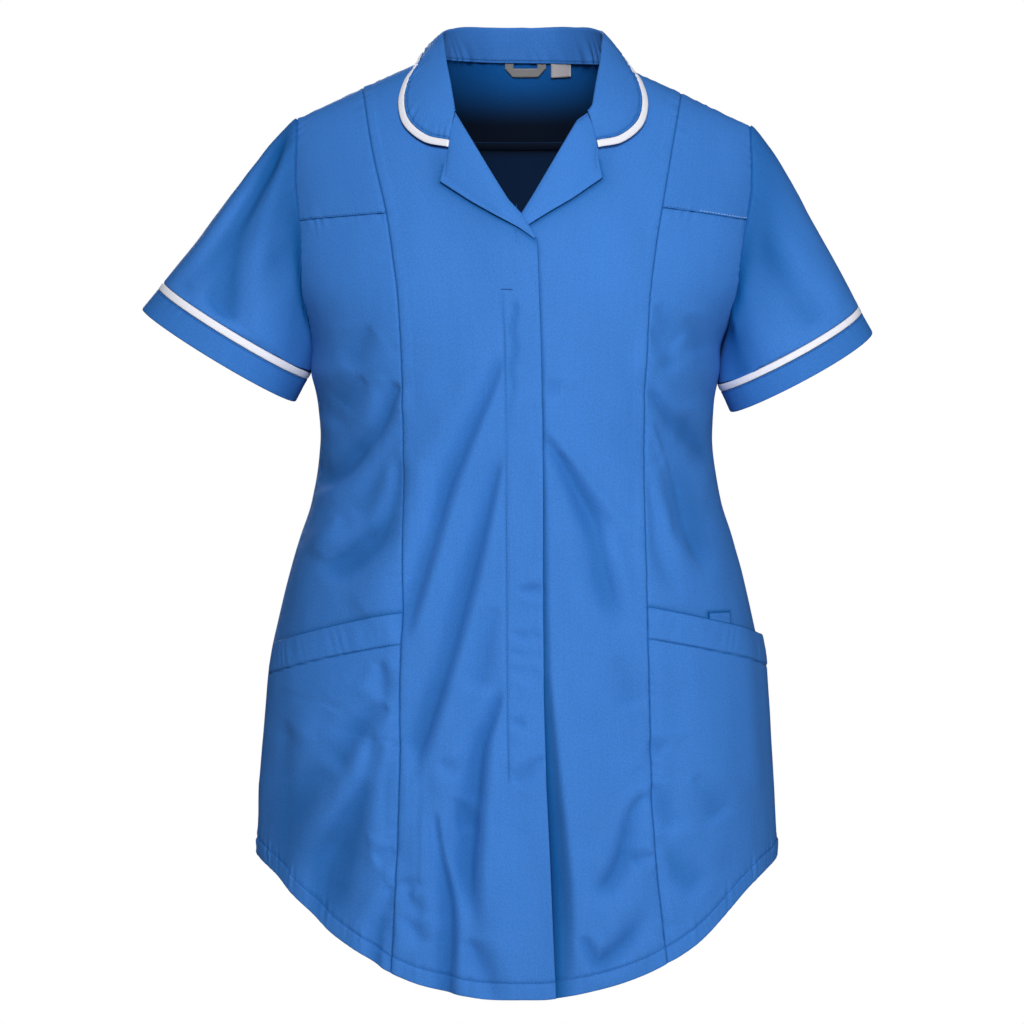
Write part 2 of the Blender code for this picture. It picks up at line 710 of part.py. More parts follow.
def pocket_lift(side, share, down):
    lift = PLY + 0.0009
    if side > 0:
        across = smooth_step((share - 0.10) / 0.12) * smooth_step((0.70 - share) / 0.16)
        lift += 1.15 * PLY * across * smooth_step((0.165 - down) / 0.040)
        lift += 0.0032 * smooth_step((share - 0.80) / 0.2) * smooth_step((0.05 - down) / 0.05)
    lift += 0.0010 * math.sin(math.pi * share) * smooth_step((0.06 - down) / 0.06)
    return lift


# A pocket is made from the points of the side panel below it, moved out.
def pocket(name, side):
    points, facing = GRIDS[name.replace("pocket", "front_side")]
    column = 0 if side < 0 else 1
    count = points.shape[0]
    tops = [float(between(POCKET_TOP, share)[column]) for share in SIDE_COLUMNS[side]]
    numbers = np.arange(count, dtype=float)
    found = []
    for j, top in enumerate(tops):
        levels = -points[:, j, 2]
        found.append([float(np.interp(-top + POCKET_BAND * k, levels, numbers)) for k in (0, 0.5, 1)])
    first = int(math.ceil(max(spots[2] for spots in found)))
    lines = [[spots[k] for spots in found] for k in range(3)]
    steps = [math.ceil(spots[2] + 0.05) for spots in found]
    lines.append([spots[2] * 0.5 + first * 0.5 if n >= first else n for spots, n in zip(found, steps)])
    lines += [[float(i)] * len(tops) for i in range(first, count)]
    outer = np.zeros((len(lines), len(tops), 3))
    inner = outer.copy()
    for i, line in enumerate(lines):
        for j, spot in enumerate(line):
            k = min(int(spot), count - 2)
            share = spot - k
            point = points[k, j] * (1 - share) + points[k + 1, j] * share
            out = unit(facing[k, j] * (1 - share) + facing[k + 1, j] * share)
            lift = pocket_lift(side, SIDE_COLUMNS[side][j], tops[j] - point[2])
            extra = HEM_PLY if i < 3 or i == len(lines) - 1 else 0.0
            low = PLY if i > 2 else PLY + HEM_PLY
            outer[i, j] = point + out * (lift + max(extra, low - PLY))
            inner[i, j] = point + out * (lift - CLOTH)
    gaps = (0.0015, 0.0008, 0.0, 0.0)
    return wall(name, "blue_cloth", pull_in(outer, gaps), pull_in(inner, gaps))


def pen_pocket():
    left, right, top, bottom = PEN_POCKET
    points, facing = GRIDS["left_front_side"]
    column = points[:, 3]
    inside = [p[2] for p in column if bottom + 0.008 < p[2] < top - 0.008]
    levels = [top] + inside + [bottom]
    outer = np.zeros((len(levels), 3, 3))
    inner = outer.copy()
    for i, level in enumerate(levels):
        middle = float(np.interp(-level, -column[:, 2], column[:, 0]))
        for j, x in enumerate((left, middle, right)):
            point, out = on_panel("left_front_side", x, level)
            outer[i, j] = point + out * (PLY + 0.0006)
            inner[i, j] = point + out * (PLY + 0.0006 - CLOTH)
    return wall("pen_pocket", "blue_cloth", outer, inner)


def lapel(name, table, under, spring):
    downs = [0.0, 0.07, 0.14, 0.21, 0.28, 0.39, 0.50, 0.60, 0.70, 0.78, 0.85, 0.93, 1.0]
    acrosses = (0.0, 0.05, 0.14, 0.28, 0.46, 0.64, 0.82, 1.0)
    keys = [row[0] for row in table]
    outer = np.zeros((len(downs), len(acrosses), 3))
    inner = outer.copy()
    for i, down in enumerate(downs):
        values = [float(np.interp(down, keys, [row[k] for row in table])) for k in (1, 2, 3, 4)]
        roll = np.array(values[:2])
        edge = np.array(values[2:])
        for j, across in enumerate(acrosses):
            spot = roll + (edge - roll) * across
            point, out = on_panel(under, float(spot[0]), float(spot[1]))
            lift = PLY + 0.0003
            lift += spring * math.sin(math.pi * min(across * 1.15, 1.0)) ** 0.7 * (1.0 - down**3)
            outer[i, j] = point + out * lift
            inner[i, j] = point + out * (lift - CLOTH)
    gaps = (0.0, 0.0, 0.0004, 0.0)
    return wall(name, "blue_cloth", pull_in(outer, gaps), pull_in(inner, gaps))


def grid_normals(grid, wrap=False):
    rows, columns = grid.shape[:2]
    normals = np.zeros_like(grid)
    for i in range(rows):
        for j in range(columns):
            down = grid[min(i + 1, rows - 1), j] - grid[max(i - 1, 0), j]
            if wrap:
                before = (j - 1) % (columns - 1)
                after = (j + 1) % (columns - 1)
            else:
                before = max(j - 1, 0)
                after = min(j + 1, columns - 1)
            across = grid[i, after] - grid[i, before]
            normals[i, j] = unit(np.cross(across, down))
    return normals


def collar_point(x, z, side):
    phi, height = locate(x, z, side == "back")
    if side == "top":
        return np.array((x, 0.0, z)), np.array((0.0, 0.0, 1.0))
    return form(phi, height), form_normal(phi, height)


# The collar's middle surface: rows from the neck seam over the roll line to the outer edge.
def collar_surface(places, falls):
    stations = []
    for way in (-1, 1):
        rows = []
        for key, nx, nz, rx, ry, rz, ex, ez, side in COLLAR:
            centre = NECK_CENTRE
            x = centre + way * nx
            if side == "front":
                line = RIGHT_EDGE if way < 0 else LEFT_EDGE
                x = float(np.interp(-nz, [-spot[0] for spot in line], [spot[1] for spot in line]))
            if side == "back":
                nz = neck_level(x)
            neck, _ = collar_point(x, nz, side)
            edge, out = collar_point(centre + way * ex, ez, side)
            if side == "top":
                neck[2] = ridge(neck[0])
                edge[2] = ridge(edge[0])
            roll = np.array((centre + way * rx, ry, rz))
            facing = form_normal(*locate(neck[0], neck[2], side == "back"))
            lift = 0.0036
            if key >= 9.5:
                roll = neck + facing * 0.0044 - np.array((way * 0.0020, 0.0, 0.0))
                neck = neck + facing * 0.0017
            else:
                neck = neck - facing * CLOTH / 2.0
            rows.append((key, *neck, *roll, *(edge + out * lift), *out))
        stations.append(rows)
    grid = []
    for place in places:
        rows = stations[0] if place < 0 else stations[1]
        value = np.array(between(rows, abs(place)))
        neck, roll, edge, out = value[0:3], value[3:6], value[6:9], unit(value[9:12])
        away = unit(edge - roll)
        line = []
        for share in (0.0, 0.45, 0.85):
            line.append(neck + (roll - neck) * share)
        line[0] = neck + unit(roll - neck) * 0.0017
        for fall in falls:
            bulge = between(FALL, abs(place))[0] * math.sin(math.pi * fall) ** 0.8
            bulge *= 1.0 - 0.3 * fall
            up = unit(out + np.array((0.0, 0.0, 0.6)) - away * np.dot(out, away))
            line.append(roll + (edge - roll) * fall + up * bulge)
        grid.append(line)
    return np.array(grid)


def collar():
    places = [-10.0 + 20.0 * s for s in shares(36)]
    falls = (0.0, 0.13, 0.30, 0.50, 0.70, 1.0)
    grid = collar_surface(places, falls)
    for line in grid:
        length = np.linalg.norm(line[-1] - line[-2])
        line[-1] = line[-1] + unit(line[-2] - line[-1]) * min(COLLAR_TRIM, length * 0.85)
    normals = grid_normals(grid)
    if normals[len(places) // 2, -1][1] < 0:
        normals = -normals
    ends = pull_in(grid, (0.0, SEAM_GAP, 0.0002, 0.0002))
    half = CLOTH / 2.0
    wall("collar", "blue_cloth", ends + normals * half, ends - normals * half)
    full = collar_surface(places, falls)
    strip = np.zeros((len(places), 3, 3))
    for i, line in enumerate(full):
        length = np.linalg.norm(line[-1] - line[-2])
        start = line[-1] + unit(line[-2] - line[-1]) * min(COLLAR_TRIM, length * 0.85)
        strip[i] = (start, (start + line[-1]) / 2.0, line[-1])
    facing = np.repeat(normals[:, -1:, :], 3, axis=1)
    strip = pull_in(strip, (0.0, 0.0, 0.0002, 0.0002))
    trim_half = half + TRIM_PLY
    wall("collar_trim", "white_trim", strip + facing * trim_half, strip - facing * half)


def sleeve_ring(centre, half, inward, sag, skew, turns, depth):
    flat = np.array((inward[0], 0.0, inward[1]))
    points = []
    for turn in turns:
        along = -math.cos(turn)
        across = math.sin(turn)
        point = np.array(centre) + flat * along * half
        point = point + np.array((0.0, -1.0, 0.0)) * depth * across
        drop = sag * max(across, 0.0) + 0.4 * sag * max(-across, 0.0)
        point[2] -= drop * (1.0 - skew * along)
        points.append(point)
    return np.array(points)


def sleeve(side_name, side, cuff, cuff_half, trim, trim_half, inward, sag, skew):
    rows = UPPER_ROWS + MIDDLE_ROWS[1:]
    ring = []
    facing = []
    for row in rows:
        phi, height = armhole_row(row, side, False)
        ring.append(form(phi, height))
        facing.append(form_normal(phi, height))
    for row in reversed(rows[:-1]):
        phi, height = armhole_row(row, side, True)
        ring.append(form(phi, height))
        facing.append(form_normal(phi, height))
    ring = np.array(ring)
    facing = np.array(facing)
    steps = np.linalg.norm(np.diff(ring, axis=0), axis=1)
    front_count = len(rows) - 1
    front_turn = np.concatenate([[0.0], np.cumsum(steps[:front_count])])
    back_turn = np.concatenate([[0.0], np.cumsum(steps[front_count:])])
    turns = list(front_turn / front_turn[-1] * math.pi)
    turns += list(math.pi + back_turn[1:] / back_turn[-1] * math.pi)
    trim_top = sleeve_ring(trim, trim_half, inward, sag, skew, turns, CUFF_DEPTH)
    cuff_end = sleeve_ring(cuff, cuff_half, inward, sag, skew, turns, CUFF_DEPTH + 0.001)
    down = cuff_end - trim_top
    down /= np.linalg.norm(down, axis=1)[:, None]
    head = SLEEVE_HEAD[side]
    levels = (0.0, 0.06, 0.14, 0.25, 0.38, 0.52, 0.68, 0.84, 1.0)

    def surface(start):
        grid = []
        for level in levels:
            line = []
            for k, turn in enumerate(turns):
                top = (1.0 + math.cos(turn)) / 2.0
                gap = np.linalg.norm(trim_top[k] - start[k])
                leave = np.array((side * head[0], 0.0, head[1])) * (head[2] * top + 0.03)
                leave = leave + np.array((side * 0.012, 0.0, -0.012)) * (1.0 - top)
                leave = leave * min(gap / 0.10, 1.0)
                arrive = down[k] * gap * (0.55 + 0.45 * top)
                a = 2 * level**3 - 3 * level**2 + 1
                b = level**3 - 2 * level**2 + level
                c = 3 * level**2 - 2 * level**3
                d = level**3 - level**2
                point = a * start[k] + b * leave + c * trim_top[k] + d * arrive
                line.append(point)
            grid.append(line)
        return np.array(grid)

    first = surface(ring)
    normals = grid_normals(first, True)
    if np.dot(normals[3, 0], np.array((side * 0.5, 0.0, 1.0))) < 0:
        normals = -normals
    meet = np.einsum("ij,ij->i", normals[0], facing)
    start = ring + facing * (SEAM_GAP * 1.5 + CLOTH / 2.0 * np.abs(meet))[:, None]
    grid = surface(start)
    normals = grid_normals(grid, True)
    if np.dot(normals[3, 0], np.array((side * 0.5, 0.0, 1.0))) < 0:
        normals = -normals
    for k in range(len(turns)):
        before = trim_top[(k - 1) % (len(turns) - 1)]
        after = trim_top[(k + 1) % (len(turns) - 1)]
        end = unit(np.cross(after - before, down[k]))
        normals[-1, k] = end * math.copysign(1.0, np.dot(end, normals[-1, k]))
    grid[-1] -= down * SEAM_GAP / 2.0
    half = CLOTH / 2.0
    wall(side_name + "_sleeve", "blue_cloth", grid + normals * half, grid - normals * half, True)
    split = trim_top + (cuff_end - trim_top) * TRIM_SHARE
    last = np.repeat(normals[-1:], 2, axis=0)
    band = np.array((trim_top + down * SEAM_GAP / 2.0, split - down * SEAM_GAP / 2.0))
    outer = band + last * (half + TRIM_PLY)
    wall(side_name + "_cuff_trim", "white_trim", outer, band - last * half, True)
    middle = (split + cuff_end) / 2.0
    band = np.array((split + down * SEAM_GAP / 2.0, middle, cuff_end))
    last = np.repeat(normals[-1:], 3, axis=0)
    wall(side_name + "_cuff", "blue_cloth", band + last * half, band - last * half, True)


def back_inside(x, z, depth):
    phi, height = locate(x, z, True)
    point, out = cloth_point(phi, height, 0.0)
    return point - out * depth, out


# one edge of the tape, from one end round to the other
def tape_edge(places, count):
    spots = np.array(places)
    spots = np.concatenate((spots * np.array((-1.0, 1.0)), spots[-2::-1]))
    keys = np.linspace(0.0, len(spots) - 1.0, count)
    return np.stack([np.interp(keys, np.arange(len(spots)), spots[:, k]) for k in (0, 1)], axis=-1)


def hanger_loop():
    centre, top = HANGER_LOOP
    near = CLOTH + 0.0007
    outer = []
    inner = []
    for places in zip(tape_edge(LOOP_OUTER, 19), tape_edge(LOOP_INNER, 19)):
        line = [back_inside(centre + x, top - drop, near) for x, drop in places]
        outer.append([point for point, _ in line])
        inner.append([point - out * CLOTH for point, out in line])
    wall("hanger_loop", "grey_tape", np.array(outer), np.array(inner))


def size_label():
    left, width, top, height = SIZE_LABEL
    outer = np.zeros((4, 4, 3))
    inner = outer.copy()
    for i, down in enumerate(shares(3)):
        for j, across in enumerate(shares(3)):
            x = left + width * across
            z = top - height * down
            point, out = back_inside(x, z, CLOTH + 0.0007)
            outer[i, j] = point
            inner[i, j] = point - out * 0.001
    wall("size_label", "label_cloth", outer, inner)


for item in list(bpy.data.objects):
    bpy.data.objects.remove(item, do_unlink=True)
FOLD_LINES = fold_lines()
GRIDS = {}
TUNIC = bpy.data.collections.new("maternity_tunic")
bpy.context.scene.collection.children.link(TUNIC)

centre_panel("right_front_centre", -1, RIGHT_EDGE, LEFT_EDGE, flap_lift, ROUND)
centre_panel("left_front_centre", 1, LEFT_EDGE, RIGHT_EDGE, under_lift, ROUND)
for side_name, side in (("right", -1), ("left", 1)):
    seams = (HALF_GAP, 0.0002, HALF_GAP, HALF_GAP)
    side_panel(side_name + "_front_yoke", side, UPPER_ROWS, shares(3), seams)
    side_panel(side_name + "_front_side", side, SIDE_ROWS, SIDE_COLUMNS[side], ROUND)
    pocket(side_name + "_pocket", side)
pen_pocket()
back_yoke()
back_panel()
lapel("right_lapel", RIGHT_LAPEL, "right_front_centre", 0.0022)
lapel("left_lapel", LEFT_LAPEL, "left_front_centre", 0.0022)
collar()
for side, *sizes in SLEEVES:
    sleeve("right" if side < 0 else "left", side, *sizes)
hanger_loop()
size_label()
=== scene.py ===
import math

import bpy
import numpy as np
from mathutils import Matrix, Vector


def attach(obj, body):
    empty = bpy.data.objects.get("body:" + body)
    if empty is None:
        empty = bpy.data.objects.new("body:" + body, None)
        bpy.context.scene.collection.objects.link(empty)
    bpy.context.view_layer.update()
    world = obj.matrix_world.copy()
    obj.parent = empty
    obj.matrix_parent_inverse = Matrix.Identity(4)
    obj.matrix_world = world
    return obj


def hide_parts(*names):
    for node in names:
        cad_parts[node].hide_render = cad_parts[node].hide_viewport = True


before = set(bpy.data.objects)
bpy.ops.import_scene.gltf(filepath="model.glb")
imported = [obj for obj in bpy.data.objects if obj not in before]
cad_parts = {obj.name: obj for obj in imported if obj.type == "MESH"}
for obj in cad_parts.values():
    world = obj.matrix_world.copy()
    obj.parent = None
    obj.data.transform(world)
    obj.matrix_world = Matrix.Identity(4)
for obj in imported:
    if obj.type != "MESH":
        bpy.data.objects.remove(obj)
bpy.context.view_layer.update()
print("frame loaded")

# Worn shape of the tunic in metres: x to the wearer's left, -y to the front, z 0 at the side neck points.
tunicForm = {
    "shoulder": -0.055,
    "underarm": -0.245,
    "corner": 2.3,  # 2 makes each ring an ellipse, more makes it squarer
    "neckCentre": 0.006,
    "neckHalf": 0.0735,
    "neckLevel": 0.0058,
    # fall of the shoulders, how round they are, where they are at level 0, rise and half width of the neck
    "slope": {"fall": -0.485, "round": 0.045, "zero": 0.070, "neckRise": 0.070, "neckReach": 0.080},
    # level of the seam beside the princess seam and its drop, which starts at x and takes the reach
    "frontYoke": {"right": (-0.1416, -0.0032), "left": (-0.1355, -0.0074), "start": 0.107, "reach": 0.080},
    # level of the seam at the centre, its drop and at which x
    "backYoke": (-0.0696, -0.005, 0.190),
    # angle of the side seams from the front centre, right and left
    "sideSeam": {-1: 80.0, 1: 92.0},
    # angle where the front's hem turns into the back's, and over how much
    "hemTurn": (80.0, 20.0),
    # level, half width, front depth, back depth, sideways shift
    "rings": (
        (-0.055, 0.2045, 0.112, 0.112, 0.0065),
        (-0.100, 0.2062, 0.118, 0.116, 0.0065),
        (-0.150, 0.2065, 0.130, 0.119, 0.0060),
        (-0.200, 0.1985, 0.140, 0.116, 0.0030),
        (-0.245, 0.1765, 0.146, 0.111, 0.0000),
        (-0.270, 0.1746, 0.147, 0.107, 0.0000),
        (-0.285, 0.1710, 0.147, 0.105, 0.0000),
        (-0.298, 0.1690, 0.147, 0.104, 0.0000),
        (-0.330, 0.1672, 0.146, 0.102, 0.0000),
        (-0.379, 0.1744, 0.146, 0.104, 0.0000),
        (-0.413, 0.1851, 0.148, 0.108, 0.0000),
        (-0.447, 0.1943, 0.150, 0.112, 0.0000),
        (-0.481, 0.2020, 0.152, 0.116, 0.0000),
        (-0.516, 0.2094, 0.155, 0.120, 0.0000),
        (-0.550, 0.2131, 0.157, 0.123, 0.0000),
        (-0.618, 0.2182, 0.160, 0.127, 0.0000),
        (-0.680, 0.2206, 0.162, 0.129, 0.0000),
        (-0.800, 0.2236, 0.166, 0.131, 0.0000),
    ),
    # share of the half width, hem level on the right front, on the left front, at the back
    "hem": (
        (0.00, -0.7845, -0.7845, -0.7760),
        (0.13, -0.7837, -0.7842, -0.7752),
        (0.33, -0.7747, -0.7755, -0.7665),
        (0.47, -0.7630, -0.7660, -0.7550),
        (0.57, -0.7490, -0.7555, -0.7440),
        (0.69, -0.7316, -0.7380, -0.7280),
        (0.87, -0.6955, -0.6995, -0.6990),
        (1.00, -0.6725, -0.6800, -0.6765),
    ),
    # height on the form, angle of the armhole from the centre line
    "armhole": (
        (0.00, 71.5),
        (0.30, 70.3),
        (0.50, 69.3),
        (0.60, 66.7),
        (0.70, 64.9),
        (0.80, 65.9),
        (0.90, 71.0),
    ),
    # level, right princess seam, left princess seam
    "princess": (
        (-0.020, -0.1320, 0.1440),
        (-0.035, -0.1295, 0.1405),
        (-0.087, -0.1204, 0.1305),
        (-0.1416, -0.1076, 0.1205),
        (-0.181, -0.1015, 0.1145),
        (-0.215, -0.0971, 0.1105),
        (-0.297, -0.0935, 0.1060),
        (-0.380, -0.0930, 0.1065),
        (-0.461, -0.0934, 0.1080),
        (-0.543, -0.0948, 0.1094),
        (-0.665, -0.0963, 0.1133),
        (-0.762, -0.1019, 0.1240),
        (-0.800, -0.1040, 0.1290),
    ),
    # level, inner edge of the right front: neck, roll of the lapel, flap
    "rightEdge": (
        (0.0027, -0.0675),
        (-0.010, -0.0665),
        (-0.025, -0.0630),
        (-0.040, -0.0580),
        (-0.050, -0.0535),
        (-0.057, -0.0504),
        (-0.1327, -0.0068),
        (-0.1445, 0.0040),
        (-0.1669, 0.0171),
        (-0.1843, 0.0179),
        (-0.2485, 0.0203),
        (-0.3384, 0.0219),
        (-0.4444, 0.0219),
        (-0.5419, 0.0226),
        (-0.6124, 0.0246),
        (-0.6716, 0.0275),
        (-0.7840, 0.0323),
        (-0.8000, 0.0330),
    ),
    # level, inner edge of the left front, its lower part under the flap
    "leftEdge": (
        (-0.0023, 0.0795),
        (-0.010, 0.0785),
        (-0.025, 0.0750),
        (-0.040, 0.0700),
        (-0.0531, 0.0641),
        (-0.0637, 0.0505),
        (-0.1302, 0.0130),
        (-0.1445, 0.0040),
        (-0.1628, -0.0067),
        (-0.1844, -0.0083),
        (-0.6229, -0.0083),
        (-0.7790, -0.0066),
        (-0.8000, -0.0060),
    ),
}


def softStep(value):
    value = np.clip(value, 0.0, 1.0)
    return value * value * (3.0 - 2.0 * value)


def unitOf(vectors):
    return vectors / np.maximum(np.linalg.norm(vectors, axis=-1, keepdims=True), 1e-12)


# a soft peak of height 1 that fades over a reach
def bell(distance, reach):
    return np.exp(-((distance / reach) ** 2))


# 1 between a top and a bottom, each given as a level and over how much it fades
def insideLevels(z, top, bottom):
    return softStep((top[0] - z) / top[1]) * softStep((z - bottom[0]) / bottom[1])


# length along a line of points, counted from its first one
def lengthsAlong(points):
    return np.concatenate(([0.0], np.cumsum(np.linalg.norm(np.diff(points, axis=0), axis=1))))


# columns of values known at some places, read at the wanted ones
def readAt(wanted, places, values):
    return np.stack([np.interp(wanted, places, column) for column in values.T], axis=-1)


# weights of the start, its pull, the end and its pull on a curve between two points
def curveWeights(t):
    return 2 * t**3 - 3 * t**2 + 1, t**3 - 2 * t**2 + t, 3 * t**2 - 2 * t**3, t**3 - t**2


# values between the rows of a table, on a curve through all of them
def throughTable(table, key):
    rows = np.array(table, dtype=float)
    keys = rows[:, 0]
    values = rows[:, 1:]
    key = np.asarray(key, dtype=float)
    if keys[0] > keys[-1]:
        keys = -keys
        key = -key
    key = np.clip(key, keys[0], keys[-1])
    spot = np.clip(np.searchsorted(keys, key) - 1, 0, len(keys) - 2)
    before = np.maximum(spot - 1, 0)
    after = np.minimum(spot + 2, len(keys) - 1)
    step = keys[spot + 1] - keys[spot]
    a, b, c, d = curveWeights((key - keys[spot]) / step)
    b = b * step / (keys[spot + 1] - keys[before])
    d = d * step / (keys[after] - keys[spot])
    out = a[..., None] * values[spot] + b[..., None] * (values[spot + 1] - values[before])
    return out + c[..., None] * values[spot + 1] + d[..., None] * (values[after] - values[spot])


def shoulderLine(x):
    slope = tunicForm["slope"]
    level = slope["fall"] * (np.hypot(x, slope["round"]) - math.hypot(slope["zero"], slope["round"]))
    share = np.minimum(np.abs(x - tunicForm["neckCentre"]) / slope["neckReach"], 1.0)
    return level + slope["neckRise"] * (1.0 - share * share) ** 2


# level of the neck seam at the back
def neckLine(x):
    centre = tunicForm["neckCentre"]
    half = tunicForm["neckHalf"]
    rel = np.minimum(np.abs(x - centre) / half, 1.0)
    sidePoint = shoulderLine(centre + np.copysign(half, x - centre))
    return sidePoint + (tunicForm["neckLevel"] - sidePoint) * (1.0 - rel * rel)


def hemLine(phi):
    levels = throughTable(tunicForm["hem"], np.abs(np.sin(phi)))
    start, reach = np.radians(tunicForm["hemTurn"])
    turn = softStep((np.abs(phi) - start) / reach)
    front = np.where(phi < 0, levels[..., 0], levels[..., 1])
    return front * (1.0 - turn) + levels[..., 2] * turn


# phi is the angle from the front centre, height runs 0 to 1 from shoulder to underarm and to 2 at the hem
def tunicPoint(phi, height):
    phi, height = np.broadcast_arrays(np.asarray(phi, float), np.asarray(height, float))
    share = np.sin(phi)
    drop = 1.0 - np.cos(np.minimum(height, 1.0) * math.pi / 2.0)
    underarm = tunicForm["underarm"]
    upper = tunicForm["shoulder"] + (underarm - tunicForm["shoulder"]) * drop
    lower = underarm + (height - 1.0) * (hemLine(phi) - underarm)
    level = np.where(height < 1.0, upper, lower)
    fill = np.where(height < 1.0, np.sin(np.minimum(height, 1.0) * math.pi / 2.0), 1.0)
    ring = throughTable(tunicForm["rings"], level)
    x = ring[..., 3] + ring[..., 0] * share
    z = np.where(height < 1.0, shoulderLine(x) * (1.0 - drop) + underarm * drop, lower)
    depth = np.where(np.abs(phi) < math.pi / 2.0, -ring[..., 1], ring[..., 2])
    corner = tunicForm["corner"]
    y = depth * fill * np.maximum(1.0 - np.abs(share) ** corner, 0.0) ** (1.0 / corner)
    return np.stack((x, y, z), axis=-1)


def tunicFacing(phi, height):
    low = np.maximum(height - 0.01, 0.0)
    along = tunicPoint(phi, low + 0.02) - tunicPoint(phi, low)
    level = np.maximum(height, 0.004)
    around = tunicPoint(phi + 0.01, level) - tunicPoint(phi - 0.01, level)
    return unitOf(np.cross(around, -along))


# angle and height at which the form has a given x and z
def placeOn(x, z, back=False):
    x, z = np.broadcast_arrays(np.asarray(x, float), np.asarray(z, float))
    underarm = tunicForm["underarm"]
    top = shoulderLine(x)
    drop = np.clip((top - z) / (top - underarm), 0.0, 1.0)
    upper = tunicForm["shoulder"] + (underarm - tunicForm["shoulder"]) * drop
    ring = throughTable(tunicForm["rings"], np.where(z > underarm, upper, z))
    phi = np.arcsin(np.clip((x - ring[..., 3]) / ring[..., 0], -1.0, 1.0))
    if back:
        phi = np.copysign(math.pi, phi) - phi
    lower = 1.0 + (z - underarm) / (hemLine(phi) - underarm)
    return phi, np.where(z > underarm, np.arccos(1.0 - drop) * 2.0 / math.pi, lower)


def frontYokeLine(x):
    yoke = tunicForm["frontYoke"]
    share = np.clip((np.abs(x) - yoke["start"]) / yoke["reach"], 0.0, 1.0)
    right, left = (level + drop * share for level, drop in (yoke["right"], yoke["left"]))
    return np.where(x < 0, right, left)


def backYokeLine(x):
    level, drop, reach = tunicForm["backYoke"]
    return level + drop * (x / reach) ** 2


# rows of the panels: 0 to 1 above the yoke seam, 1 to 2 down to the underarm, 2 to 3 to the hem
def rowHeight(row, x, back):
    level = backYokeLine(x) if back else frontYokeLine(x)
    top = shoulderLine(x)
    drop = np.clip((top - level) / (top - tunicForm["underarm"]), 0.001, 0.999)
    seam = np.arccos(1.0 - drop) * 2.0 / math.pi
    above = np.where(row <= 1.0, row * seam, seam + (row - 1.0) * (1.0 - seam))
    return np.where(row >= 2.0, row - 1.0, above)


def settleRow(phi, row, back):
    height = rowHeight(row, tunicPoint(phi, 0.5)[..., 0], back)
    for _ in range(6):
        height = rowHeight(row, tunicPoint(phi, height)[..., 0], back)
    return height


# angle at which each row crosses an edge given as x for each level
def seamAngle(levels, places, rows, low, high):
    low = np.full(rows.shape, low)
    high = np.full(rows.shape, high)

    def miss(phi):
        point = tunicPoint(phi, settleRow(phi, rows, False))
        return point[..., 0] - np.interp(-point[..., 2], levels, places)

    start = miss(low)
    for _ in range(26):
        middle = (low + high) / 2.0
        same = miss(middle) * start > 0
        low = np.where(same, middle, low)
        high = np.where(same, high, middle)
    return (low + high) / 2.0


def princessAngle(rows, side):
    levels = np.linspace(-0.0201, -0.7999, 60)
    places = throughTable(tunicForm["princess"], levels)[:, 0 if side < 0 else 1]
    return seamAngle(-levels, places, rows, 0.02 * side, side * 1.5)


def frontEdgeAngle(rows, side):
    edge = np.array(tunicForm["rightEdge" if side < 0 else "leftEdge"])
    return seamAngle(-edge[:, 0], edge[:, 1], rows, -side * 0.35, side * 1.45)


def armholeAngle(height, side, back):
    seam = tunicForm["sideSeam"][side]
    close = 180.0 - seam if back else seam
    angle = throughTable(tunicForm["armhole"], np.minimum(height, 0.9))[..., 0]
    share = np.clip((height - 0.9) / 0.1, 0.0, 1.0)
    angle = angle + (close - angle) * share**1.6
    angle = np.where(height >= 1.0, close, angle)
    return side * np.radians(180.0 - angle if back else angle)


def armholeRow(rows, side, back):
    height = np.full(rows.shape, 0.5)
    for _ in range(14):
        phi = armholeAngle(height, side, back)
        height = rowHeight(rows, tunicPoint(phi, height)[..., 0], back)
    return phi, height


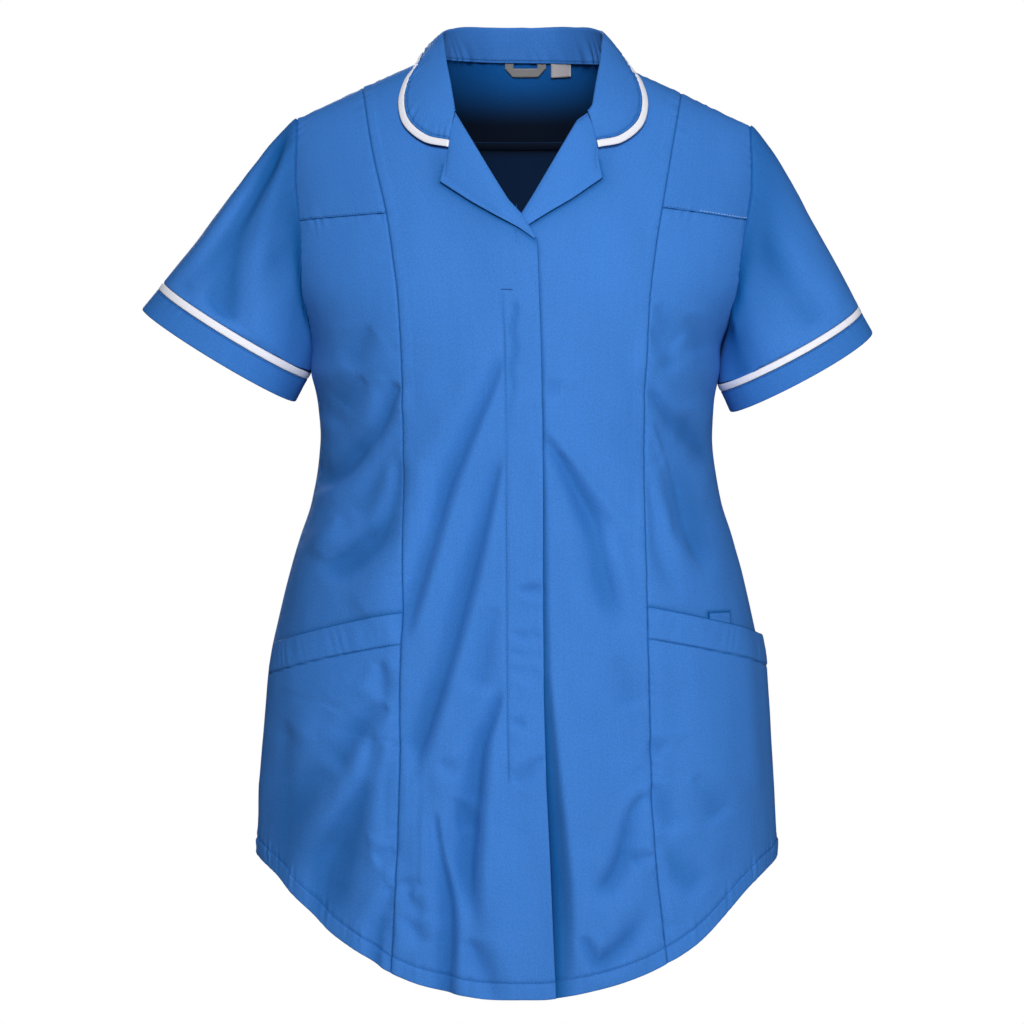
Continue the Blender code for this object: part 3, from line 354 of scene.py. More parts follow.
# Creases pressed into the cloth, in millimetres:
# height (a trough is below 0), half width, lean to one side, then the places x and z along it
creasePlan = {
    "front": (
        (-4.4, 6.5, -0.45, (-9, -256), (-21, -288), (-41, -333), (-59, -377), (-74, -429),
         (-88, -475), (-97, -500)),
        (-4.6, 6.5, -0.45, (-11, -338), (-22, -382), (-33, -425), (-55, -507), (-76, -573), (-95, -625)),
        (-2.2, 8.0, -0.2, (-14, -466), (-24, -486), (-28, -518), (-29, -540)),
        (-5.4, 6.5, -0.4, (-10, -530), (-21, -560), (-29, -585), (-35, -644), (-38, -690), (-34, -740)),
        (-2.4, 5.0, 0.0, (-50, -621), (-44, -636), (-40, -651)),
        (-1.6, 5.0, 0.0, (-63, -592), (-55, -598), (-46, -605)),
        (-4.4, 5.5, -0.45, (-65, -630), (-63, -662), (-57, -696), (-54, -729), (-56, -780)),
        (-3.0, 6.0, 0.0, (-41, -736), (-31, -751), (-20, -777)),
        (-2.6, 5.0, 0.0, (-94, -718), (-83, -729), (-74, -744)),
        (-1.8, 4.5, 0.0, (-93, -688), (-82, -698)),
        (2.4, 14.0, 0.0, (-20, -640), (-16, -700), (-14, -800)),
        (-4.4, 7.0, -0.35, (22, -322), (36, -348), (52, -377), (64, -402), (77, -455), (90, -495)),
        (-2.2, 5.0, -0.3, (32, -336), (48, -358), (67, -388), (85, -410), (103, -431)),
        (-1.6, 5.0, 0.0, (26, -281), (34, -296)),
        (-1.8, 10.0, 0.0, (82, -506), (90, -530), (97, -551)),
        (-4.0, 6.0, 0.2, (108, -617), (98, -629), (92, -648), (87, -670), (74, -692), (56, -698)),
        (-2.2, 4.0, 0.0, (113, -671), (102, -673), (96, -677)),
        (-3.6, 5.0, 0.0, (52, -732), (59, -744), (67, -755), (76, -751), (94, -734), (113, -703)),
        (-4.4, 7.5, -0.3, (-96, -282), (-102, -294), (-115, -320), (-127, -333), (-146, -354),
         (-163, -363), (-176, -372)),
        (-2.6, 10.0, 0.0, (-125, -278), (-142, -297), (-160, -319)),
        (-2.4, 12.0, 0.0, (-98, -300), (-112, -345), (-122, -385), (-128, -425)),
        (-1.8, 7.0, 0.0, (-122, -236), (-128, -248), (-142, -272)),
        (-4.6, 9.0, 0.30, (-96, -340), (-99, -375), (-109, -403), (-127, -418), (-150, -431), (-166, -444)),
        (1.8, 7.0, 0.0, (-148, -390), (-157, -411), (-165, -430)),
        (-4.0, 9.0, -0.2, (-101, -548), (-122, -560), (-138, -584), (-152, -604)),
        (-5.8, 12.0, 0.35, (-114, -566), (-122, -606), (-138, -642), (-151, -670), (-158, -700),
         (-160, -740)),
        (-3.6, 15.0, 0.2, (-150, -540), (-166, -600), (-172, -650), (-166, -700)),
        (-3.0, 11.0, 0.0, (-186, -560), (-194, -610), (-196, -660), (-184, -715)),
        (-2.4, 6.0, 0.3, (-97, -572), (-104, -612), (-104, -650), (-101, -685)),
        (-2.2, 5.0, 0.0, (-112, -510), (-108, -528), (-110, -546)),
        (-2.2, 5.0, 0.0, (-98, -664), (-106, -670), (-114, -674)),
        (-3.0, 5.0, 0.0, (-101, -690), (-108, -715), (-113, -735), (-117, -768)),
        (-2.4, 5.0, 0.0, (-90, -698), (-84, -710), (-78, -722)),
        (2.4, 16.0, 0.0, (-150, -548), (-158, -572), (-150, -604)),
        (-4.2, 7.0, -0.2, (108, -284), (129, -310), (143, -320), (155, -334), (166, -360)),
        (-3.4, 9.0, 0.5, (113, -310), (129, -351), (139, -383), (147, -414), (165, -446)),
        (-1.8, 4.0, 0.0, (110, -324), (123, -359), (131, -391), (137, -422)),
        (-1.6, 4.0, 0.0, (108, -359), (115, -391), (119, -426), (139, -466)),
        (-2.2, 7.0, 0.0, (117, -217), (127, -237), (139, -249)),
        (-2.0, 6.0, 0.0, (111, -237), (123, -256), (131, -276)),
        (-1.6, 8.0, 0.0, (143, -225), (150, -243), (155, -260)),
        (-2.6, 8.0, 0.0, (111, -612), (119, -628), (133, -655)),
        (-2.8, 9.0, 0.0, (116, -650), (133, -680), (155, -703)),
        (-2.2, 9.0, 0.0, (145, -605), (158, -625), (171, -644)),
        (-2.0, 6.0, 0.0, (110, -574), (119, -588)),
        (-2.0, 3.0, 0.0, (1, -453), (10, -453), (24, -453)),
        (-1.6, 4.0, 0.0, (-4, -486), (8, -492), (22, -487)),
        (-1.6, 4.0, 0.0, (-6, -503), (9, -507), (23, -503)),
        (-1.4, 4.0, 0.0, (-5, -518), (8, -520), (22, -523)),
        (-1.6, 3.5, 0.0, (-5, -559), (2, -561), (8, -560)),
        (-2.0, 4.5, 0.0, (24, -588), (10, -600), (-4, -610)),
    ),
    "back": (
        (-3.6, 8.0, 0.3, (-62, -228), (-76, -300), (-94, -372), (-116, -440), (-138, -505)),
        (-3.4, 8.0, -0.3, (58, -236), (73, -310), (92, -385), (114, -455), (134, -520)),
        (-2.6, 8.0, 0.2, (-26, -290), (-36, -380), (-50, -470), (-62, -560), (-66, -650)),
        (-2.8, 8.0, -0.2, (22, -300), (32, -390), (46, -475), (60, -560), (70, -645)),
        (-3.8, 11.0, 0.2, (-42, -455), (-50, -560), (-50, -670), (-40, -800)),
        (-4.2, 11.0, -0.2, (44, -480), (52, -590), (60, -700), (64, -800)),
        (-3.4, 10.0, 0.2, (-108, -545), (-124, -625), (-130, -700), (-126, -770)),
        (-3.4, 10.0, -0.2, (114, -530), (128, -615), (136, -695), (132, -765)),
        (2.4, 16.0, 0.0, (4, -560), (8, -680), (6, -800)),
        (-2.2, 9.0, 0.0, (-92, -118), (-101, -170), (-96, -232)),
        (-2.2, 9.0, 0.0, (94, -118), (102, -175), (95, -236)),
        (-2.8, 7.0, 0.3, (-98, -262), (-124, -292), (-148, -318), (-166, -335)),
        (-2.8, 7.0, -0.3, (96, -256), (120, -288), (146, -316), (165, -334)),
        (-2.0, 6.0, 0.3, (-108, -306), (-132, -328), (-158, -350)),
        (-2.0, 6.0, -0.3, (110, -300), (134, -324), (158, -346)),
        (-1.8, 8.0, 0.0, (-112, -400), (-134, -436), (-156, -470)),
        (-1.8, 8.0, 0.0, (114, -392), (136, -430), (158, -466)),
        (1.6, 20.0, 0.0, (-92, -580), (-90, -690), (-92, -800)),
        (1.6, 20.0, 0.0, (98, -580), (98, -690), (96, -800)),
    ),
}
creaseShape = {
    "strength": 1.60,
    "width": 1.50,
    # shares of its length over which a crease fades in and out, and what it loses on its way
    "start": 0.10,
    "end": 0.24,
    "loss": 0.25,
    # share of its width at its start, and of its length where it is full
    "narrow": 0.38,
    "full": 0.55,
    # height of the ridges beside a trough, how far out they are and their width, in half widths
    "ridge": (0.34, 2.2, 1.1),
    # a crease that ends below this level runs out over the hem, in millimetres
    "hem": -765,
    # levels over which creases start below the shoulders, and angle over which they stop at the sides
    "quiet": (-0.10, 0.05),
    "sides": 0.35,
}


def creaseLine(places):
    spots = np.array(places, dtype=float)
    keys = np.arange(len(spots), dtype=float)
    table = np.column_stack((keys, spots))
    return throughTable(table, np.linspace(0.0, keys[-1], 6 * (len(spots) - 1) + 1))


# height of one crease over flat points in millimetres
def creaseHeight(flat, crease):
    height, width, lean = crease[:3]
    width = width * creaseShape["width"]
    line = creaseLine(crease[3:])
    near = np.all((flat > line.min(0) - 4 * width) & (flat < line.max(0) + 4 * width), axis=-1)
    found = np.zeros(flat.shape[:-1])
    spots = flat[near]
    if not len(spots):
        return found
    best = np.full(len(spots), 1e9)
    sign = np.ones(len(spots))
    along = np.zeros(len(spots))
    count = len(line) - 1
    for k in range(count):
        step = line[k + 1] - line[k]
        away = spots - line[k]
        t = np.clip((away @ step) / (step @ step), 0.0, 1.0)
        miss = away - t[:, None] * step
        far = np.hypot(*miss.T)
        closer = far < best
        best = np.where(closer, far, best)
        sign = np.where(closer, np.sign(step[0] * miss[:, 1] - step[1] * miss[:, 0]), sign)
        along = np.where(closer, (k + t) / count, along)
    fade = softStep(along / creaseShape["start"]) * (1.0 - creaseShape["loss"] * along)
    if line[-1, 1] > creaseShape["hem"]:
        fade = fade * softStep((1.0 - along) / creaseShape["end"])
    # a crease starts sharp at the seam that pulls it and spreads on its way
    narrow = creaseShape["narrow"]
    spread = narrow + (1.0 - narrow) * np.minimum(along / creaseShape["full"], 1.0)
    reach = best / (width * spread * (1.0 + lean * sign))
    ridge, away, across = creaseShape["ridge"]
    found[near] = height * fade * spread * (bell(reach, 1.0) - ridge * bell(reach - away, across))
    return found


# smooth uneven waves of a given size, the same on every run
unevenPlan = {
    # seed of the table, size and height in metres: broad, middle and small
    "waves": ((3, 0.070, 0.0012), (5, 0.030, 0.0007), (8, 0.011, 0.00020)),
    "stretch": (1.0, 1.0, 0.55),
    "calm": 0.35,  # share of the height that is left at the shoulders
}
waveCells = 24
waveTables = {}
for seed, _, _ in unevenPlan["waves"]:
    waveTables[seed] = np.random.default_rng(seed).uniform(-1.0, 1.0, (waveCells,) * 3)


def unevenWaves(points, size, seed):
    spots = points / size + 40.0
    cell = np.floor(spots).astype(int)
    t = softStep(spots - cell)
    table = waveTables[seed]
    total = 0.0
    for corner in range(8):
        step = np.array((corner & 1, corner >> 1 & 1, corner >> 2 & 1))
        share = np.prod(np.where(step == 1, t, 1.0 - t), axis=-1)
        spot = (cell + step) % waveCells
        total = total + share * table[spot[..., 0], spot[..., 1], spot[..., 2]]
    return total


# the creases' height in metres, none near the shoulders and the side seams
def creaseRelief(point, phi):
    flat = point[..., [0, 2]] * 1000.0
    front = np.abs(phi) < math.pi / 2.0
    creases = np.zeros(flat.shape[:-1])
    for face, mask in (("front", front), ("back", ~front)):
        if not mask.any():
            continue
        for crease in creasePlan[face]:
            creases += np.where(mask, creaseHeight(flat, crease), 0.0)
    sides = softStep(np.abs(np.abs(phi) - math.pi / 2.0) / creaseShape["sides"])
    return creases * 0.001 * creaseShape["strength"] * belowShoulders(point) * sides


# 0 at the shoulders and 1 below them
def belowShoulders(point):
    level, reach = creaseShape["quiet"]
    return softStep((level - point[..., 2]) / reach)


# creases and uneven waves together, in metres
def clothRelief(point, phi):
    calm = unevenPlan["calm"]
    share = calm + (1.0 - calm) * belowShoulders(point)
    stretched = point * np.array(unevenPlan["stretch"])
    relief = creaseRelief(point, phi)
    for seed, size, height in unevenPlan["waves"]:
        relief = relief + height * unevenWaves(stretched, size, seed) * share
    return relief


# distances across a strip of cloth as shares of its width, closer together at the edges
def spreadShares(width, step, edges=(0.0, 0.0005, 0.0012, 0.0024, 0.0042)):
    count = max(int(round((width - 2 * edges[-1]) / step)), 2)
    inner = np.linspace(edges[-1], width - edges[-1], count + 1)
    ends = np.array(edges[:-1])
    return np.concatenate((ends, inner, width - ends[::-1])) / width


# how far the outermost points of a grid turn in, so that an edge looks rounded
def roundEdge(distance, depth=0.0006, reach=0.0016):
    return -depth * (1.0 - np.sqrt(np.clip(distance / reach, 0.0, 1.0)))


# distance of each point of a grid from each of its four edges, along the cloth
def edgeDistances(grid):
    across = np.linalg.norm(np.diff(grid, axis=1), axis=-1)
    down = np.linalg.norm(np.diff(grid, axis=0), axis=-1)
    rows, columns = grid.shape[:2]
    left = np.concatenate((np.zeros((rows, 1)), np.cumsum(across, axis=1)), axis=1)
    top = np.concatenate((np.zeros((1, columns)), np.cumsum(down, axis=0)), axis=0)
    return {"left": left, "right": left[:, -1:] - left, "top": top, "bottom": top[-1:] - top}


clothFinish = {
    "blue": (0.043, 0.190, 0.580),
    # the inside of the cloth is painted darker than its outside, as painted shade
    "inside": (0.003, 0.078, 0.290),
    # level from, level to, share of the colour there: painted shade, the neck's inside is painted darker
    # down to the yoke seam
    "insideShade": ((-0.052, 0.004, 0.05, 1.35), (-0.078, -0.068, 0.10, 0.0)),
    # the thread is painted darker than the cloth, partly its own colour and partly painted shade of the
    # needle holes
    "thread": (0.018, 0.080, 0.290),
    "paleThread": (0.560, 0.680, 0.860),
    "piping": (0.820, 0.825, 0.900),
    "tape": (0.260, 0.255, 0.262),
    "label": (0.570, 0.550, 0.570),
    # in the painted shade, how much faster red is lost than green, and blue slower
    "paintedShadeLoss": (1.80, 1.00, 0.86),
    "specular": 0.14,
    "sheenRoughness": 0.45,
    "sheenTint": (0.30, 0.55, 1.0, 1.0),
    "contrast": 1.6,  # between the darkest and the palest yarns, for streaks of 1
    # marks in the weave: how many a metre across and along, and their weight
    "grain": (
        ((680, 480, 1), 0.42),
        ((1400, 1000, 1), 0.60),
        ((420, 26, 1), 0.13),
        ((150, 700, 1), 0.10),
        ((13, 9, 1), 0.22),
    ),
    "weave": {"scale": 310.0, "uneven": 0.6, "marks": 2.2, "strength": 0.35, "depth": 0.00006},
}

# name, streaks, roughness and sheen of the material for each finish
finishPlan = {
    "blue": ("blue woven cloth", 0.26, 0.74, 0.03),
    "inside": ("blue cloth inside with painted shade", 0.26, 0.85, 0.0),
    "thread": ("blue thread", 0.05, 0.55, 0.1),
    "paleThread": ("pale thread", 0.05, 0.55, 0.1),
    "piping": ("white piping", 0.03, 0.6, 0.15),
    "tape": ("grey tape", 0.12, 0.7, 0.1),
    "label": ("label ribbon", 0.05, 0.45, 0.1),
}


def addNode(tree, kind, **values):
    node = tree.nodes.new(kind)
    for key, value in values.items():
        if hasattr(node, key):
            setattr(node, key, value)
        else:
            node.inputs[key.replace("_", " ")].default_value = value
    return node


# painted shade: cloth is painted darker and bluer in its seams, folds and other places where shade falls,
# by a share kept with each point as the attribute depth
def addPaintedShade(tree, colour, target):
    depth = addNode(tree, "ShaderNodeAttribute", attribute_name="depth")
    share = addNode(tree, "ShaderNodeVectorMath", operation="MULTIPLY_ADD")
    share.inputs[1].default_value = [-value for value in clothFinish["paintedShadeLoss"]]
    share.inputs[2].default_value = (1.0, 1.0, 1.0)
    least = addNode(tree, "ShaderNodeVectorMath", operation="MAXIMUM")
    least.inputs[1].default_value = (0.02, 0.02, 0.02)
    dim = addNode(tree, "ShaderNodeVectorMath", operation="MULTIPLY")
    tree.links.new(depth.outputs["Fac"], share.inputs[0])
    tree.links.new(share.outputs["Vector"], least.inputs[0])
    tree.links.new(colour, dim.inputs[0])
    tree.links.new(least.outputs["Vector"], dim.inputs[1])
    tree.links.new(dim.outputs["Vector"], target)


# painted shade: the inside is painted darker down the neck, between the levels of two spans
def shadeDown(tree, colour, target, spans):
    place = addNode(tree, "ShaderNodeTexCoord")
    split = addNode(tree, "ShaderNodeSeparateXYZ")
    tree.links.new(place.outputs["Object"], split.inputs["Vector"])
    total = addNode(tree, "ShaderNodeMath", operation="ADD")
    for k, values in enumerate(spans):
        span = addNode(tree, "ShaderNodeMapRange", interpolation_type="SMOOTHSTEP")
        for key, value in zip(("From Min", "From Max", "To Min", "To Max"), values):
            span.inputs[key].default_value = value
        tree.links.new(split.outputs["Z"], span.inputs["Value"])
        tree.links.new(span.outputs["Result"], total.inputs[k])
    dim = addNode(tree, "ShaderNodeVectorMath", operation="SCALE")
    tree.links.new(colour, dim.inputs["Vector"])
    tree.links.new(total.outputs[0], dim.inputs["Scale"])
    tree.links.new(dim.outputs["Vector"], target)


# woven cloth: long warp streaks, short weft ones and a fine even weave in its bump
def wovenMaterial(finish):
    name, streaks, roughness, sheen = finishPlan[finish]
    colour = clothFinish[finish]
    weavePlan = clothFinish["weave"]
    made = bpy.data.materials.new(name)
    made.use_nodes = True
    tree = made.node_tree
    shader = tree.nodes["Principled BSDF"]
    shader.inputs["Roughness"].default_value = roughness
    shader.inputs["Specular IOR Level"].default_value = clothFinish["specular"]
    shader.inputs["Sheen Weight"].default_value = sheen
    shader.inputs["Sheen Roughness"].default_value = clothFinish["sheenRoughness"]
    shader.inputs["Sheen Tint"].default_value = clothFinish["sheenTint"]
    place = addNode(tree, "ShaderNodeUVMap", uv_map="cloth")
    shades = []
    for scale, weight in clothFinish["grain"]:
        mapping = addNode(tree, "ShaderNodeMapping", Scale=scale)
        noise = addNode(tree, "ShaderNodeTexNoise", Scale=1.0, Detail=2.0)
        tree.links.new(place.outputs["UV"], mapping.inputs["Vector"])
        tree.links.new(mapping.outputs["Vector"], noise.inputs["Vector"])
        shade = addNode(tree, "ShaderNodeMath", operation="MULTIPLY_ADD")
        shade.inputs[1].default_value = weight
        shade.inputs[2].default_value = -weight / 2.0
        tree.links.new(noise.outputs["Fac"], shade.inputs[0])
        shades.append(shade)
    total = shades[0]
    for shade in shades[1:]:
        added = addNode(tree, "ShaderNodeMath", operation="ADD")
        tree.links.new(total.outputs[0], added.inputs[0])
        tree.links.new(shade.outputs[0], added.inputs[1])
        total = added
    ramp = addNode(tree, "ShaderNodeMapRange", From_Min=-0.5, From_Max=0.5, To_Min=0.0, To_Max=1.0)
    tree.links.new(total.outputs[0], ramp.inputs["Value"])
    mix = addNode(tree, "ShaderNodeMix", data_type="RGBA")
    for socket, sign in ((6, -1.0), (7, 1.0)):
        yarn = [value * (1.0 + sign * streaks * clothFinish["contrast"]) for value in colour]
        mix.inputs[socket].default_value = (*yarn, 1.0)
    tree.links.new(ramp.outputs["Result"], mix.inputs["Factor"])
    if finish == "inside":
        shadeDown(tree, mix.outputs[2], shader.inputs["Base Color"], clothFinish["insideShade"])
    else:
        addPaintedShade(tree, mix.outputs[2], shader.inputs["Base Color"])
    height = addNode(tree, "ShaderNodeMath", operation="ADD")
    for k, direction in enumerate(("X", "Y")):
        wave = addNode(tree, "ShaderNodeTexWave", bands_direction=direction, Scale=weavePlan["scale"])
        wave.inputs["Distortion"].default_value = weavePlan["uneven"]
        tree.links.new(place.outputs["UV"], wave.inputs["Vector"])
        tree.links.new(wave.outputs["Fac"], height.inputs[k])
    marks = addNode(tree, "ShaderNodeMath", operation="MULTIPLY_ADD")
    marks.inputs[1].default_value = weavePlan["marks"]
    tree.links.new(total.outputs[0], marks.inputs[0])
    tree.links.new(height.outputs[0], marks.inputs[2])
    bump = addNode(tree, "ShaderNodeBump", Strength=weavePlan["strength"], Distance=weavePlan["depth"])
    tree.links.new(marks.outputs[0], bump.inputs["Height"])
    tree.links.new(bump.outputs["Normal"], shader.inputs["Normal"])
    made.diffuse_color = (*colour, 1.0)
    return made


materials = {finish: wovenMaterial(finish) for finish in finishPlan}


# a sheet of cloth from a grid of points, with its own length and width as the UV map, in metres
def clothPiece(name, grid, facing, finish, node, closed=False, thick=0.0009, depth=None):
    rows, columns = grid.shape[:2]
    far = edgeDistances(grid)
    u = far["left"] - far["left"][:, columns // 2 : columns // 2 + 1]
    v = far["top"]
    number = np.arange(rows * columns).reshape(rows, columns)
    cells = np.stack((number[:-1, :-1], number[1:, :-1], number[1:, 1:], number[:-1, 1:]), axis=-1)
    cells = cells.reshape(-1, 4)
    i, j = rows // 2, columns // 3
    way = np.cross(grid[i + 1, j] - grid[i, j], grid[i, j + 1] - grid[i, j])
    if np.dot(way, facing[i, j]) < 0:
        cells = cells[:, ::-1]
    uv = np.stack((u, -v), axis=-1).reshape(-1, 2)[cells.reshape(-1)]
    points = grid
    corners = cells
    if closed:  # the last column is the first one again
        points = grid[:, :-1]
        wrapped = np.arange(rows * (columns - 1)).reshape(rows, columns - 1)
        wrapped = np.concatenate((wrapped, wrapped[:, :1]), axis=1).reshape(-1)
        corners = wrapped[cells]
    mesh = bpy.data.meshes.new(name)
    mesh.from_pydata(points.reshape(-1, 3).tolist(), [], corners.tolist())
    layer = mesh.uv_layers.new(name="cloth")
    layer.data.foreach_set("uv", uv.astype(np.float32).reshape(-1))
    mesh.polygons.foreach_set("use_smooth", np.ones(len(mesh.polygons), dtype=bool))
    # the painted shade of each point is kept as the attribute depth
    if depth is not None:
        depth = (depth + 0.0 * grid[..., 0])[:, : points.shape[1]]
        kept = mesh.attributes.new("depth", "FLOAT", "POINT")
        kept.data.foreach_set("value", depth.astype(np.float32).reshape(-1))
    mesh.materials.append(materials[finish])
    # the inner faces of blue pieces get the darker inside cloth, which is painted shade
    mesh.materials.append(materials["inside" if finish == "blue" else finish])
    made = bpy.data.objects.new(name, mesh)
    bpy.context.scene.collection.objects.link(made)
    ply = made.modifiers.new("ply", "SOLIDIFY")
    ply.thickness = thick
    ply.offset = -1.0
    ply.material_offset = 1
    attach(made, "root")
    if node:
        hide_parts(node)
    return made


# points of the creased cloth and the way it faces, lifted off the form
def tunicSurface(phi, height, lift):
    point = tunicPoint(phi, height)
    facing = tunicFacing(phi, height)
    return point + facing * (clothRelief(point, phi) + lift)[..., None], facing


placketPlan = {
    # level, x of the stitch line, x of the trough beside it
    "lines": (
        (-0.205, -0.0120, -0.0010),
        (-0.257, -0.0091, -0.0020),
        (-0.338, -0.0083, -0.0050),
        (-0.461, -0.0075, 0.0010),
        (-0.610, -0.0058, 0.0040),
    ),
    # column of its x, depth, half width, its top and its bottom
    "groove": (1, 0.0007, 0.0012, (-0.208, 0.004), (-0.612, 0.006)),
    "trough": (2, 0.0011, 0.0028, (-0.212, 0.012), (-0.345, 0.110)),
    # sideways waves of the trough: size, and how many radians a metre
    "waves": (0.0012, 190.0),
    # share of painted shade in the placket's groove
    "shade": 0.18,
    # height over the fastening strip, x where that starts and over how much, then more below the lapels
    "strip": (0.0016, -0.040, 0.030),
    "below": (0.0020, -0.046, 0.040, (-0.126, 0.020), (-0.215, 0.040)),
}


def placketLine(x, z, kind):
    rows = np.array(placketPlan["lines"])
    column, depth, reach, top, bottom = placketPlan[kind]
    line = np.interp(-z, -rows[:, 0], rows[:, column])
    if kind == "trough":
        size, turns = placketPlan["waves"]
        line = line + size * np.sin(z * turns)
    return depth * bell(x - line, reach) * insideLevels(z, top, bottom)


def placketDepth(x, z):
    return placketLine(x, z, "groove") + placketLine(x, z, "trough")


# painted shade on the right front: in the placket's groove and in the lapel's painted shadow
def paintedFlapShade(x, z):
    share = np.clip(placketDepth(x, z) / placketPlan["groove"][1], 0.0, 1.0)
    return placketPlan["shade"] * share + paintedLapelShadow(x, z, "right")


# the right front stands up over the fastening strip, most of all below the lapels
def flapLift(x, z):
    height, start, reach = placketPlan["strip"]
    lift = height * softStep((x - start) / reach)
    height, start, reach, top, bottom = placketPlan["below"]
    lift = lift + height * softStep((x - start) / reach) * insideLevels(z, top, bottom)
    return lift - placketDepth(x, z)


recessPlan = {
    # level, depth of the left front behind the flap, width of the hollow beside it, how dark the flap's
    # painted shadow is there
    "rows": (
        (-0.180, 0.0016, 0.0016, 0.26),
        (-0.300, 0.0026, 0.0024, 0.42),
        (-0.420, 0.0030, 0.0034, 0.47),
        (-0.520, 0.0044, 0.0060, 0.60),
        (-0.584, 0.0070, 0.0120, 0.72),
        (-0.646, 0.0095, 0.0170, 0.80),
        (-0.693, 0.0100, 0.0200, 0.81),
        (-0.724, 0.0080, 0.0200, 0.76),
        (-0.756, 0.0040, 0.0180, 0.68),
        (-0.790, 0.0012, 0.0160, 0.58),
    ),
    "start": 0.0002,
    # level where it starts, and over how much
    "top": (-0.150, 0.020),
}


# how far the left front is across the hollow beside the flap's edge, how deep that is and how dark the
# flap's painted shadow is there
def besideFlap(x, z):
    rows = np.array(recessPlan["rows"])
    edge = np.array(tunicForm["rightEdge"])
    flap = np.interp(-z, -edge[:, 0], edge[:, 1])
    depth = np.interp(-z, -rows[:, 0], rows[:, 1])
    width = np.interp(-z, -rows[:, 0], rows[:, 2])
    paintedShade = np.interp(-z, -rows[:, 0], rows[:, 3])
    start, reach = recessPlan["top"]
    there = softStep((start - z) / reach)
    return np.clip((x - flap - recessPlan["start"]) / width, 0.0, 1.0), depth * there, paintedShade * there


# the left front lies back behind the flap, most of all at the hem
def underLift(x, z):
    share, depth, _ = besideFlap(x, z)
    return -depth * (1.0 - softStep((share - 0.35) / 0.65))


# painted shadow on the left front: beside the lapel, and in the hollow beside the flap
def paintedUnderShade(x, z):
    share, _, paintedShade = besideFlap(x, z)
    return paintedLapelShadow(x, z, "left") + paintedShade * (1.0 - share) ** 1.3


def noLift(x, z):
    return 0.0 * x


# small puckers that sewing leaves along a line, from the distance to it and the way along it
def puckers(distance, along, height, length, reach, seed):
    turn = along / length * 2.0 * math.pi
    waves = np.sin(turn + 1.7 * np.sin(turn * 0.31 + seed)) * (0.6 + 0.4 * np.sin(turn * 0.17 + 2.0 * seed))
    return height * waves * bell(distance, reach)


hemPlan = {
    "depth": 0.014,
    "ply": 0.0006,
    "groove": (0.0008, 0.0011),
    # height, length and reach of the puckers
    "pucker": (0.00100, 0.0066, 0.010),
    # distances of the rows of points from the edge
    "rows": (0.0, 0.0006, 0.0014, 0.0030, 0.0060, 0.0095, 0.0180, 0.021),
    # and of those close to its stitches
    "stitchRows": (0.0125, 0.0133, 0.0140, 0.0147, 0.0156),
}


# a hem turned up inside, with its stitches
def hemRelief(distance, along):
    band = hemPlan["ply"] * softStep((hemPlan["depth"] + 0.0006 - distance) / 0.0012)
    line = distance - hemPlan["depth"]
    groove, across = hemPlan["groove"]
    wrinkle = puckers(np.maximum(line * 1.6, -line * 0.9), along, *hemPlan["pucker"], 1.3)
    return band - groove * bell(line, across) + wrinkle


seamPlan = {
    "groove": (0.0007, 0.0010),
    # height, length and reach of the puckers
    "pucker": (0.00042, 0.011, 0.009),
    # how much the cloth stands up over the seam allowance, how wide that is, how far a sewn edge draws in
    "allowance": 0.0004,
    "width": 0.0095,
    "pull": 0.00016,
}


# a seam, with or without its allowance pressed to this side
def seamRelief(distance, along, seed, allowance=0.0):
    groove, across = seamPlan["groove"]
    ridge = allowance * softStep((seamPlan["width"] - distance) / 0.002) * softStep(distance / 0.002)
    return ridge - groove * bell(distance, across) + puckers(distance, along, *seamPlan["pucker"], seed)


# painted shade along seams, stitch lines, hems and pocket mouths, and in creases: share of the colour lost
# there, and how far that reaches
paintedShadePlan = {
    "seam": (0.42, 0.0006),
    "line": (0.34, 0.0008),
    "hem": (0.24, 0.0009),
    "mouth": (0.60, 0.0008),
    "crease": (0.23, 0.0055),  # the share, and the depth at which it is full
}


def paintedShadeAlong(distance, kind):
    share, reach = paintedShadePlan[kind]
    return share * bell(distance, reach)


# the painted shade of the creases added to that of the seams
def withCreaseShade(depth, point, phi):
    share, full = paintedShadePlan["crease"]
    return 1.0 - (1.0 - depth) * (1.0 - share * softStep(-creaseRelief(point, phi) / full))


# painted shade: how dark the cloth is painted along its sewn edges
def paintedShadeOfEdges(far, edges):
    depth = 0.0 * far["left"]
    for edge, kind in edges.items():
        if kind in ("seam", "tucked", "pressed"):
            depth = np.maximum(depth, paintedShadeAlong(far[edge], "seam"))
        if kind == "hem":
            depth = np.maximum(depth, paintedShadeAlong(far[edge] - hemPlan["depth"], "hem"))
    return depth


# how far the seam allowance goes under the neighbour, how deep it lies and how round its start is
allowancePlan = {"steps": (0.0004, 0.0014, 0.0040, 0.0070), "depth": 0.0021, "round": 0.0009}
edgeEnds = {"left": 0, "right": -1, "top": 0, "bottom": -1}


# adds the seam allowance that lies under the neighbouring piece along one edge
def tuckUnder(phi, height, extra, far, edge, shares=1.0):
    sideways = edge in ("left", "right")
    grids = [values.T if sideways else values for values in (phi, height, extra)]
    width = far[edge].T if sideways else far[edge]
    at, inner = (0, 5) if edgeEnds[edge] == 0 else (-1, -6)
    steps = np.array(allowancePlan["steps"])[:, None]
    reach = steps / width[inner] * shares
    sink = allowancePlan["depth"] * softStep(steps / allowancePlan["round"]) * shares
    strips = [values[at] - (values[inner] - values[at]) * reach for values in grids[:2]]
    strips.append(grids[2][at] - sink)
    joined = []
    for values, strip in zip(grids, strips):
        whole = np.concatenate((strip[::-1], values) if at == 0 else (values, strip))
        joined.append(whole.T if sideways else whole)
    return joined


